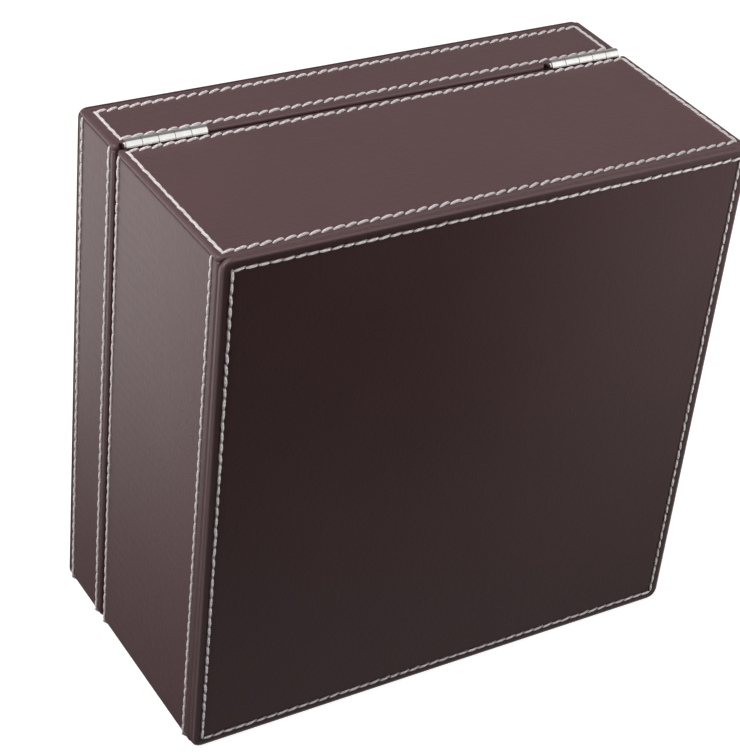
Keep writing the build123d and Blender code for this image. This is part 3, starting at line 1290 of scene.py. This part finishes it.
@dataclass(frozen=True)
class HingeNotch:
    """The grooves that the two hinge barrels need in a back panel's rim."""

    middles: tuple[float, float]
    reach: float
    depth: float

    @classmethod
    def of(cls, rim: float) -> "HingeNotch":
        """Read the grooves' places from the hinges in the frame.

        Args:
            rim: Height of the rim that they lie in.

        Returns:
            The grooves.
        """
        pins = [Extent.of(f"hinge_pin_{side}") for side in ("left", "right")]
        barrel = Extent.of("hinge_base_leaf_right")
        clearance = 0.4 * MM
        radius = (barrel.top - barrel.bottom) / 2 + clearance
        reach = (pins[0].right - pins[0].left) / 2 + clearance
        axis = pins[0].centre.z
        return cls((pins[0].centre.x, pins[1].centre.x), reach, radius - abs(rim - axis))

    def inside(self, x: float) -> bool:
        """Say whether a place along the rim lies in a groove."""
        return any(abs(x - middle) < self.reach for middle in self.middles)


class BackPanel:
    """The padded leather panel on the back of the base or the lid, with the leather turned over its rim."""

    LEANS = (1.0, 0.2)
    GROOVE_SLOPE = 0.25
    GROOVE_DEPTH = 2.0 * MM

    def __init__(self, name: str, body: Body, carcass: Carcass, rim: float, seam: Seam) -> None:
        """Keep what the panel is built from.

        Args:
            name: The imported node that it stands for.
            body: The body that it rides on.
            carcass: The boards' sizes.
            rim: Height of its rim.
            seam: The seam's sizes.
        """
        self.name = name
        self.body = body
        self.carcass = carcass
        self.rim = rim
        self.seam = seam
        self.box = Extent.of(name)
        self.wrap = Wrap(
            thick=carcass.panel,
            edge=LEATHER_EDGE,
            shoulder=0.55 * MM,
            turned_in=8.0 * MM,
            lip=0.2 * MM,
            margin=0.25 * MM,
            edge_steps=5,
            shoulder_steps=3,
        )
        self.notch = HingeNotch.of(rim)
        self.into = 1.0 if rim < self.box.centre.z else -1.0
        outline = PanelOutline(2 * carcass.half, self.box.top - self.box.bottom, 1.6 * MM, seam)
        middle = (self.box.top + self.box.bottom) / 2
        self.skin = PanelSkin(
            f"{name}_skin", outline, lambda u, v, h: Vector((-u, carcass.board_back + h, middle + v))
        )
        self.skin.notch = self._cut
        self.half_height = outline.height / 2

    def _cut(self, across: float, up: float, inset: float) -> Point2:
        """Draw a point of a ring back out of a hinge's groove.

        Args:
            across: The point's place along the rim, from the panel's middle.
            up: Its height from the panel's middle.
            inset: How far inside the panel's edge its ring lies.

        Returns:
            Its place across and up, outside the groove.
        """
        if self.notch.inside(-across):
            limit = self.half_height - self.notch.depth
            limit -= self.GROOVE_SLOPE * min(inset, self.GROOVE_DEPTH)
            if -self.into * up > limit:
                return across, -self.into * limit
        return across, up

    def build(self, material: bpy.types.Material) -> None:
        """Build the panel and the turned leather.

        Args:
            material: The leather.
        """
        item = self.skin.build(self.skin.wrapped(self.wrap), material, joined=False)
        settle(item, self.body.value, Slot.LEATHER, self.name)
        settle(self._turned(material), self.body.value, Slot.LEATHER)

    def _turned(self, material: bpy.types.Material) -> bpy.types.Object:
        """Build the leather turned over the back board's end, cut back round the hinge barrels.

        Args:
            material: The leather.

        Returns:
            Its object.
        """
        box = self.carcass
        seam_gap, cut_back, rounding = 0.15 * MM, 1.4 * MM, 0.22 * MM
        back, front = box.board_back, box.inside.back
        cut = back - cut_back
        line: list[Point2] = [(-box.inside.right + seam_gap, front), (box.inside.right - seam_gap, front)]
        line.append((box.half - box.skin - seam_gap, back))
        for middle in sorted(self.notch.middles, reverse=True):
            right, left = middle + self.notch.reach, middle - self.notch.reach
            line += [(right, back), (right, cut), (left, cut), (left, back)]
        line.append((-box.half + box.skin + seam_gap, back))
        shell = Shell(f"{self.name}_turn")
        low, high = sorted((self.rim, self.rim + self.into * box.skin))
        shell.loft([shell.ring(Vector((x, y, z)) for x, y in line) for z in (low, high)])
        item = shell.build(material)
        bevel = item.modifiers.new("edges", "BEVEL")
        bevel.width = rounding
        bevel.segments = 2
        bevel.limit_method = "ANGLE"
        return item

    def rows(self) -> list[StitchRow]:
        """Return the four rows of stitches."""
        height = self.carcass.panel - self.seam.dip * 0.5
        return self.skin.rows(self.seam.inset, height, Vector((0.0, 1.0, 0.0)), self.LEANS)


class UndersidePanel:
    """The leather-wrapped board under the base."""

    LEANS = (0.35, 0.2)

    def __init__(self, seam: Seam) -> None:
        """Read the board's place from the frame."""
        self.seam = seam
        self.box = Extent.of("underside_panel")
        self.wrap = Wrap(
            thick=self.box.top - self.box.bottom,
            edge=1.0 * MM,
            shoulder=0.9 * MM,
            turned_in=9.0 * MM,
            lip=0.4 * MM,
            margin=0.2 * MM,
            edge_steps=6,
            shoulder_steps=4,
        )
        middle = self.box.centre
        outline = PanelOutline(self.box.right - self.box.left, self.box.back - self.box.front, 4.0 * MM, seam)
        self.skin = PanelSkin(
            "underside_panel_skin",
            outline,
            lambda u, v, h: Vector((-u + middle.x, v + middle.y, self.box.top - h)),
        )

    def build(self, material: bpy.types.Material) -> None:
        """Build the board's skin.

        Args:
            material: The leather.
        """
        item = self.skin.build(self.skin.wrapped(self.wrap), material, joined=False)
        settle(item, Body.BASE.value, Slot.LEATHER, "underside_panel")

    def rows(self) -> list[StitchRow]:
        """Return the four rows of stitches under the board."""
        height = self.wrap.thick - self.seam.dip * 0.5
        return self.skin.rows(self.seam.inset, height, Vector((0.0, 0.0, -1.0)), self.LEANS)


class TopLeather:
    """The leather on the rails round the window, turned down to the glass."""

    LEANS = (0.5, 0.5)
    OUTER_FLAT = 0.35 * MM
    INNER_FLAT = 0.3 * MM

    def __init__(self, seam: Seam) -> None:
        """Read the places from the frame."""
        self.seam = seam
        self.box = Extent.of("lid_top_leather")
        self.window = -Extent.of("lid_top_rail_left").right - self.thickness
        self.border = self.box.right - self.window
        middle = self.box.centre
        outline = PanelOutline(self.box.right - self.box.left, self.box.back - self.box.front, 3.0 * MM, seam)
        self.skin = PanelSkin(
            "lid_top_leather_skin",
            outline,
            lambda u, v, h: Vector((u + middle.x, v + middle.y, self.box.bottom + h)),
        )

    @property
    def thickness(self) -> float:
        """Thickness of the leather."""
        return self.box.top - Extent.of("lid_top_rail_left").top

    def build(self, material: bpy.types.Material) -> None:
        """Build the leather.

        Args:
            material: Its finish.
        """
        skin, edge = self.thickness, LEATHER_EDGE
        high = self.box.top - self.box.bottom
        low = high - skin
        turn = self.border
        contours = [Contour(0.0, low)]
        contours += [Contour(edge - across, high - edge + up) for across, up in reversed(arc_points(edge, 4))]
        contours.append(Contour(edge + self.OUTER_FLAT, high))
        contours += self.skin.seam_contours(self.seam.inset, high)
        contours += self.skin.seam_contours(self.border - self.seam.inset, high)
        contours.append(Contour(turn - edge - self.INNER_FLAT, high))
        contours += [Contour(turn - edge + across, high - edge + up) for across, up in arc_points(edge, 4)]
        contours += [Contour(turn, 0.0), Contour(turn - skin, 0.0), Contour(turn - skin, low)]
        item = self.skin.build(contours, material, joined=True)
        settle(item, Body.LID.value, Slot.LEATHER, "lid_top_leather")

    def rows(self) -> list[StitchRow]:
        """Return the rows round the outside and round the window."""
        height = self.box.top - self.box.bottom - self.seam.dip * 0.5
        up = Vector((0.0, 0.0, 1.0))
        insets = (self.seam.inset, self.border - self.seam.inset)
        return [row for inset in insets for row in self.skin.rows(inset, height, up, self.LEANS)]


@dataclass
class LeatherWork:
    """All the leather of the box and the thread that holds it."""

    finishes: Finishes
    seam: Seam = field(default_factory=Seam)
    base_rows: tuple[float, float] = (1.7 * MM, 66.7 * MM)
    lid_rows: tuple[float, float] = (3.3 * MM, 24.1 * MM)
    base_back_inset: float = 2.5 * MM
    lid_back_inset: float = 3.95 * MM
    underside_inset: float = 3.7 * MM

    def build(self) -> None:
        """Build the skins, then sew them."""
        leather = self.finishes.leather
        base, lid = Extent.of("base_band"), Extent.of("lid_band")
        base_box = Carcass.of(Extent.of("base_floor_board"))
        lid_box = Carcass.of(Extent.of("glass_bead_front", "glass_bead_back"))
        bands = [
            LeatherBand("base_band", Body.BASE, base_box, base.top, base.bottom, self.base_rows, self.seam),
            LeatherBand("lid_band", Body.LID, lid_box, lid.bottom, lid.top, self.lid_rows, self.seam),
        ]
        panels = [
            BackPanel("base_back_panel", Body.BASE, base_box, base.top, Seam(inset=self.base_back_inset)),
            BackPanel("lid_back_panel", Body.LID, lid_box, lid.bottom, Seam(inset=self.lid_back_inset)),
        ]
        underside = UndersidePanel(Seam(inset=self.underside_inset))
        top = TopLeather(self.seam)
        for piece in (*bands, *panels, underside, top):
            piece.build(leather)
        stitcher = Stitcher(self.finishes.thread)
        base_thread = bands[0].rows() + panels[0].rows() + underside.rows()
        lid_thread = bands[1].rows() + panels[1].rows() + top.rows()
        settle(stitcher.sew("base_stitches", base_thread), Body.BASE.value, Slot.LEATHER)
        settle(stitcher.sew("lid_stitches", lid_thread), Body.LID.value, Slot.LEATHER)


@dataclass
class Woodwork:
    """Boards and rails, which the leather and the lining hide."""

    finishes: Finishes

    def dress(self) -> None:
        """Finish every board."""
        for node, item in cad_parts.items():
            if item.name.endswith("_wall") or "_rail_" in node or node == "base_floor_board":
                self.finishes.dress(node, self.finishes.board)


@dataclass
class Lining:
    """Velvet on the lining boards, the dividers and the beads that hold the glass."""

    finishes: Finishes

    def dress(self) -> None:
        """Finish every lined piece."""
        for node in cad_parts:
            if "lining" in node or "divider" in node or "bead" in node:
                self.finishes.dress(node, self.finishes.velvet)


@dataclass
class Hardware:
    """The hinges, their pins and screws, and the glass."""

    finishes: Finishes

    def dress(self) -> None:
        """Finish the metal and the glass."""
        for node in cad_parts:
            if node.startswith("hinge"):
                self.finishes.dress(node, self.finishes.nickel)
        self.finishes.dress("glass_pane", self.finishes.glass)


@dataclass
class WatchCushion:
    """One lift-out cushion: foam in suede cloth, with a piped seam round each end."""

    number: int
    finishes: Finishes
    shoulder: float = 7.0 * MM
    slack: float = 1.6 * MM
    squareness: float = 3.6
    voxel: float = 3.6 * MM
    swell: float = 2.6 * MM
    pressure: float = 4.0
    seam_inset: float = 4.2 * MM
    gather: float = 0.22 * MM
    gather_reach: float = 5.0 * MM
    groove: float = 0.5 * MM
    groove_reach: float = 1.3 * MM
    foot_gap: float = 0.05 * MM
    foot_height: float = 1.2 * MM
    foot_share: float = 0.25
    piping: float = 0.75 * MM
    piping_tilt: float = 0.35
    around: int = 56

    def __post_init__(self) -> None:
        """Read the cushion's room from the frame and seed its small differences."""
        self.name = f"cushion_{self.number}"
        self.box = Extent.of(self.name)
        self.dice = random.Random(40 + self.number)

    def section(self, scale: float) -> list[Point2]:
        """Return the outline across the cushion as (front to back, up), about its middle.

        Args:
            scale: Its size against the full section.

        Returns:
            A closed outline.
        """
        half = (self.box.back - self.box.front) / 2 - self.slack
        high = (self.box.top - self.box.bottom) / 2 - self.slack * 0.7
        power = 2.0 / self.squareness
        points = []
        for step in range(self.around):
            angle = 2 * math.pi * step / self.around
            across = math.copysign(abs(math.cos(angle)) ** power, math.cos(angle)) * half
            up = math.copysign(abs(math.sin(angle)) ** power, math.sin(angle)) * high
            points.append((across * scale, up * scale))
        return points

    def start(self) -> bpy.types.Object:
        """Build the slightly small form that the filling swells.

        Returns:
            Its object.
        """
        half = (self.box.right - self.box.left) / 2 - self.slack
        middle = self.box.centre
        shell = Shell(f"{self.name}_pad")
        rings = []
        steps = 5
        stations = [(half, 0.35), (half, 0.62)]
        for step in range(steps + 1):
            share = step / steps
            stations.append((half - self.shoulder * share, 0.80 + 0.20 * math.sqrt(1 - (1 - share) ** 2)))
        stations += [(-across, scale) for across, scale in reversed(stations)]
        for across, scale in stations:
            outline = self.section(scale)
            rings.append(
                shell.ring(Vector((middle.x + across, middle.y + u, middle.z + v)) for u, v in outline)
            )
        shell.loft(rings)
        return shell.build(self.finishes.suede, 80.0)

    def swollen(self, pad: bpy.types.Object) -> None:
        """Fill the pad by simulating its cloth under pressure, and apply the result.

        Args:
            pad: The start form.
        """
        remesh = pad.modifiers.new("remesh", "REMESH")
        remesh.mode = "VOXEL"
        remesh.voxel_size = self.voxel
        self._apply(pad)
        before = [vertex.co.copy() for vertex in pad.data.vertices]
        cloth = pad.modifiers.new("cloth", "CLOTH")
        cloth.settings.use_pressure = True
        cloth.settings.uniform_pressure_force = self.pressure + self.dice.uniform(-0.4, 0.4)
        cloth.settings.effector_weights.gravity = 0.0
        cloth.settings.quality = 4
        for index in range(1, 21):
            bpy.context.scene.frame_set(index)
        self._apply(pad)
        for vertex, old in zip(pad.data.vertices, before):
            move = vertex.co - old
            if move.length > self.swell:
                vertex.co = old + move.normalized() * self.swell
        bpy.context.scene.frame_set(1)
        smooth = pad.modifiers.new("smooth", "SMOOTH")
        smooth.factor = 0.5
        smooth.iterations = 3
        self._apply(pad)
        finer = pad.modifiers.new("finer", "SUBSURF")
        finer.levels = finer.render_levels = 1
        self._apply(pad)

    @staticmethod
    def _apply(item: bpy.types.Object) -> None:
        """Turn the object's modifiers into its mesh.

        Args:
            item: The object.
        """
        graph = bpy.context.evaluated_depsgraph_get()
        mesh = bpy.data.meshes.new_from_object(item.evaluated_get(graph))
        item.modifiers.clear()
        old = item.data
        item.data = mesh
        bpy.data.meshes.remove(old)

    def seated(self, pad: bpy.types.Object) -> None:
        """Flatten the foot, keep the pad in its room, and gather the cloth beside the seams.

        Args:
            pad: The filled pad.
        """
        mesh = pad.data
        middle = self.box.centre
        half = (self.box.right - self.box.left) / 2
        phase = self.dice.uniform(0.0, 6.0)
        for vertex in mesh.vertices:
            place = vertex.co
            angle = math.atan2(place.z - middle.z, place.y - middle.y)
            from_seam = abs(abs(place.x - middle.x) - (half - self.seam_inset))
            gather = self.gather * math.exp(-from_seam / self.gather_reach)
            ripple = math.sin(19 * angle + phase) * 0.6 + math.sin(31 * angle + 2 * phase) * 0.4
            outward = Vector((0.0, place.y - middle.y, place.z - middle.z)).normalized()
            groove = self.groove * math.exp(-((from_seam / self.groove_reach) ** 2))
            vertex.co = place + outward * (gather * ripple - groove)
            low = self.box.bottom + self.foot_gap
            if vertex.co.z < low + self.foot_height:
                vertex.co.z = max(low, low + (vertex.co.z - low) * self.foot_share)
            vertex.co.z = min(vertex.co.z, self.box.top)
            vertex.co.y = min(max(vertex.co.y, self.box.front), self.box.back)
            vertex.co.x = min(max(vertex.co.x, self.box.left), self.box.right)
        mesh.update()

    def piped(self, pad: bpy.types.Object) -> bpy.types.Object:
        """Lay piping round both ends, on the pad's surface.

        Args:
            pad: The finished pad.

        Returns:
            The two loops as one object.
        """
        shape = bmesh.new()
        shape.from_mesh(pad.data)
        tree = BVHTree.FromBMesh(shape)
        shape.free()
        middle = self.box.centre
        shell = Shell(f"{self.name}_piping")
        half = (self.box.right - self.box.left) / 2 - self.seam_inset
        steps, sides = 110, 7
        for side in (-1, 1):
            loop = []
            for step in range(steps):
                angle = 2 * math.pi * step / steps
                way = Vector((0.0, math.cos(angle), math.sin(angle)))
                start = Vector((middle.x + side * half, middle.y, middle.z)) + way * 80 * MM
                hit = tree.ray_cast(start, -way)[0]
                loop.append((hit, way))
            rings = []
            for spot, way in loop:
                out = Vector((self.piping_tilt * side, way.y, way.z)).normalized()
                over = Vector((1.0, 0.0, 0.0))
                centre = spot + out * self.piping * 0.25
                lowest = self.box.bottom + self.piping
                centre.z = max(centre.z, lowest)
                ring = []
                for corner in range(sides):
                    turn = 2 * math.pi * corner / sides
                    ring.append(centre + (out * math.cos(turn) + over * math.sin(turn)) * self.piping)
                rings.append(shell.ring(ring))
            for first, second in zip(rings, rings[1:] + rings[:1]):
                shell.bridge(first, second)
        return shell.build(self.finishes.suede, 80.0)

    def build(self) -> None:
        """Build the cushion and its piping."""
        pad = self.start()
        self.swollen(pad)
        self.seated(pad)
        piping = self.piped(pad)
        settle(pad, self.name, Slot.SUEDE, self.name)
        settle(piping, self.name, Slot.SUEDE)


@dataclass(frozen=True)
class Lamp:
    """A soft lamp, placed by where it shines from."""

    name: str
    azimuth: float
    elevation: float
    level: float
    size: float = 1.4
    distance: float = 1.8

    def light(self, target: Vector) -> None:
        """Add the lamp.

        Args:
            target: What it shines on. Its level is how bright it makes a white surface that faces it.
        """
        turn, rise = math.radians(self.azimuth), math.radians(self.elevation)
        way = Vector((math.sin(turn) * math.cos(rise), -math.cos(turn) * math.cos(rise), math.sin(rise)))
        data = bpy.data.lights.new(self.name, "AREA")
        data.shape = "DISK"
        data.size = self.size
        data.energy = self.level * math.pi**2 * self.distance**2
        lamp = bpy.data.objects.new(self.name, data)
        lamp.location = target + way * self.distance
        lamp.rotation_mode = "QUATERNION"
        lamp.rotation_quaternion = (-way).to_track_quat("-Z", "Y")
        bpy.context.scene.collection.objects.link(lamp)


@dataclass
class Studio:
    """Pale floors, soft lamps and the camera of the photograph."""

    target: tuple[float, float, float] = (6.9 * MM, -3.2 * MM, 54.4 * MM)
    azimuth: float = 140.52
    elevation: float = -43.48
    roll: float = -6.31
    distance: float = 785.0 * MM
    lens: float = 104.87
    floor_reach: float = 3.0
    floor_gap: float = 0.3 * MM
    # The table's painted reflection: plain brightness round the box, and a painted shadow under it.
    floor_shine: float = 1.1
    under_box_painted_shadow: float = 0.27
    foot_fade: float = 1.5 * MM
    foot_side_end: float = 30.0 * MM
    foot_side_shine: Point2 = (0.50, 0.06)
    # The upright floor's painted reflection: painted shade on the camera side and by the box, and painted
    # light towards minus X.
    upright_painted_shade_camera_side: FadeRange = ((0.0, 0.34), (0.06, 1.12))
    upright_painted_shade_by_box: FadeRange = ((0.10, 0.20), (0.10, 1.0))
    upright_painted_light: FadeRange = ((-0.35, 0.10), (0.45, 0.04))
    paper: Colour = (0.35, 0.35, 0.35)
    paper_shade: Colour = (0.33, 0.33, 0.33)
    paper_patch: float = 0.4
    paper_fill: float = 0.90
    sky_low: FadeRange = ((-0.05, 0.15), (0.95, 0.26))
    sky_front: FadeRange = ((0.0, 0.30), (0.50, 0.0))
    soft_level: float = 0.32
    lamps: tuple[Lamp, ...] = (
        Lamp("soft_right", 222.0, -32.0, 0.58, 0.3, 0.5),
        Lamp("key_above_back", 158.0, 20.0, 0.35),
        Lamp("side_high", 131.0, 0.0, 0.52, 0.3, 0.5),
        Lamp("front_fill", 340.0, 25.0, 0.45),
        Lamp("top_soft", 20.0, 65.0, 0.45),
    )

    def camera(self) -> None:
        """Set the camera to the photograph's view, with the hinged back face uppermost."""
        turn, rise = math.radians(self.azimuth), math.radians(self.elevation)
        back = Vector((math.sin(turn) * math.cos(rise), -math.cos(turn) * math.cos(rise), math.sin(rise)))
        level_up = Vector((0.0, 1.0, 0.0))
        level_up = (level_up - back * level_up.dot(back)).normalized()
        level_right = level_up.cross(back)
        lean = math.radians(self.roll)
        up = level_up * math.cos(lean) + level_right * math.sin(lean)
        right = up.cross(back)
        data = bpy.data.cameras.new("camera")
        data.lens = self.lens
        data.sensor_width = 36.0
        item = bpy.data.objects.new("camera", data)
        item.location = Vector(self.target) + back * self.distance
        item.rotation_mode = "QUATERNION"
        item.rotation_quaternion = Matrix((right, up, back)).transposed().to_quaternion()
        bpy.context.scene.collection.objects.link(item)
        bpy.context.scene.camera = item

    def table_painted_reflection(self, shader: Shader) -> Wire:
        """Return the brightness painted on the table for shiny surfaces: even round the box, with a painted
        shadow under it.

        Args:
            shader: The table's shader.

        Returns:
            The brightness.
        """
        foot, soft = Extent.of("underside_panel"), self.foot_fade
        place = shader.add("ShaderNodeTexCoord").out("Object")
        parts = shader.add("ShaderNodeSeparateXYZ", None, {0: place})
        across, along = parts.out("X"), parts.out("Y")
        under = shader.fade(across, (foot.left, foot.left + soft), (0.0, 1.0))
        under = under * shader.fade(across, (foot.right - soft, foot.right), (1.0, 0.0))
        under = under * shader.fade(along, (foot.front, foot.front + soft), (0.0, 1.0))
        under = under * shader.fade(along, (foot.back - soft, foot.back), (1.0, 0.0))
        # Painted shadow under the box: one level along its front, and towards its back a level that falls
        # from minus X to plus X.
        behind = shader.fade(across, (foot.left, self.foot_side_end), self.foot_side_shine)
        toward_back = shader.fade(along, (foot.front, foot.back), (0.0, 1.0))
        dim = toward_back * (behind - self.under_box_painted_shadow) + self.under_box_painted_shadow
        return under * (dim - self.floor_shine) + self.floor_shine

    def upright_painted_reflection(self, shader: Shader) -> Wire:
        """Return the brightness painted on the upright floor for shiny surfaces: painted shade by the box and
        on the camera side, and painted light towards minus X.

        Args:
            shader: The floor's shader.

        Returns:
            The brightness.
        """
        place = shader.add("ShaderNodeTexCoord").out("Object")
        parts = shader.add("ShaderNodeSeparateXYZ", None, {0: place})
        across, along = parts.out("X"), parts.out("Z")
        beyond = shader.fade(along, *self.upright_painted_shade_camera_side)
        clear = shader.fade(across, *self.upright_painted_shade_by_box)
        right = shader.fade(across, *self.upright_painted_light)
        return beyond * clear + right

    def floor_material(self, name: str, shine: Callable[[Shader], Wire]) -> bpy.types.Material:
        """Return a pale one-sided floor that keeps shadows and stops no lamp.

        Args:
            name: The material's name.
            shine: Adds the painted brightness, with its painted shade by the box, that the floor shows in
                shiny surfaces.

        Returns:
            The material.
        """
        material, shader = new_shader(name)
        path = shader.add("ShaderNodeLightPath")
        shiny = path.out("Is Glossy Ray") + path.out("Is Transmission Ray")
        behind = shader.add("ShaderNodeNewGeometry").out("Backfacing")
        grain = shader.noise(shader.coordinates(), self.paper_patch, detail=2.0)
        tone = shader.mix(grain, self.paper_shade, self.paper)
        paper = shader.add("ShaderNodeBsdfDiffuse", None, {"Color": tone}).out()
        fill = shader.add("ShaderNodeEmission", None, {"Color": WHITE, "Strength": self.paper_fill}).out()
        lit = shader.add("ShaderNodeAddShader", None, {0: paper, 1: fill}).out()
        # Shiny surfaces see a painted reflection of the floor, with painted shade by the box, in place of its
        # lit paper.
        mirrored = shader.add("ShaderNodeEmission", None, {"Color": WHITE, "Strength": shine(shader)}).out()
        plain = shader.add("ShaderNodeBsdfDiffuse", None, {"Color": self.paper}).out()
        face = shader.add("ShaderNodeMixShader", None, {0: path.out("Is Camera Ray"), 1: plain, 2: lit}).out()
        face = shader.add("ShaderNodeMixShader", None, {0: shiny, 1: face, 2: mirrored}).out()
        clear = shader.add("ShaderNodeBsdfTransparent").out()
        hidden = behind + path.out("Is Shadow Ray")
        done = shader.add("ShaderNodeMixShader", None, {0: hidden, 1: face, 2: clear}).out()
        shader.add("ShaderNodeOutputMaterial", None, {"Surface": done})
        return material

    def floors(self) -> None:
        """Lay the table under the box, and the table that the photograph stands its front face on."""
        low, _ = CAD_BOX
        reach = self.floor_reach
        level = low.z - self.floor_gap
        face = low.y - self.floor_gap
        signs = ((-1.0, -1.0), (1.0, -1.0), (1.0, 1.0), (-1.0, 1.0))
        flat = [(reach * a, reach * b, level) for a, b in signs]
        upright = [(reach * b, face, reach * a) for a, b in signs]
        for name, corners, glow in (
            ("floor", flat, self.table_painted_reflection),
            ("photo_floor", upright, self.upright_painted_reflection),
        ):
            mesh = bpy.data.meshes.new(name)
            mesh.from_pydata(corners, [], [(0, 1, 2, 3)])
            mesh.materials.append(self.floor_material(name, glow))
            item = bpy.data.objects.new(name, mesh)
            bpy.context.scene.collection.objects.link(item)

    def world(self) -> None:
        """Light everything evenly, show white behind the box, and dim what shiny surfaces see above it."""
        world = bpy.data.worlds.new("studio")
        bpy.context.scene.world = world
        shader = Shader(world)
        path = shader.add("ShaderNodeLightPath")
        way = shader.add("ShaderNodeTexCoord").out("Generated")
        parts = shader.add("ShaderNodeSeparateXYZ", None, {0: way})
        shine = shader.fade(parts.out("Z"), *self.sky_low)
        shine = shine + shader.fade(parts.out("Y"), *self.sky_front)
        seen = path.out("Is Camera Ray") + path.out("Is Transmission Ray")
        shiny = path.out("Is Glossy Ray")
        strength = shiny * shine + (1.0 - shiny) * self.soft_level
        strength = seen + (1.0 - seen) * strength
        done = shader.add("ShaderNodeBackground", None, {"Color": WHITE, "Strength": strength}).out()
        shader.add("ShaderNodeOutputWorld", None, {"Surface": done})

    def build(self) -> None:
        """Set up everything that isn't the box."""
        bpy.context.scene.view_settings.view_transform = "Standard"
        self.camera()
        self.floors()
        self.world()
        for lamp in self.lamps:
            lamp.light(Vector(self.target))


def main() -> None:
    """Build the looks in order."""
    logging.basicConfig(level=logging.INFO, format="%(name)s %(message)s")
    Studio().build()
    finishes = Finishes()
    Woodwork(finishes).dress()
    Lining(finishes).dress()
    Hardware(finishes).dress()
    LeatherWork(finishes).build()
    for number in range(1, 7):
        WatchCushion(number, finishes).build()


if __name__ == "__main__":
    main()
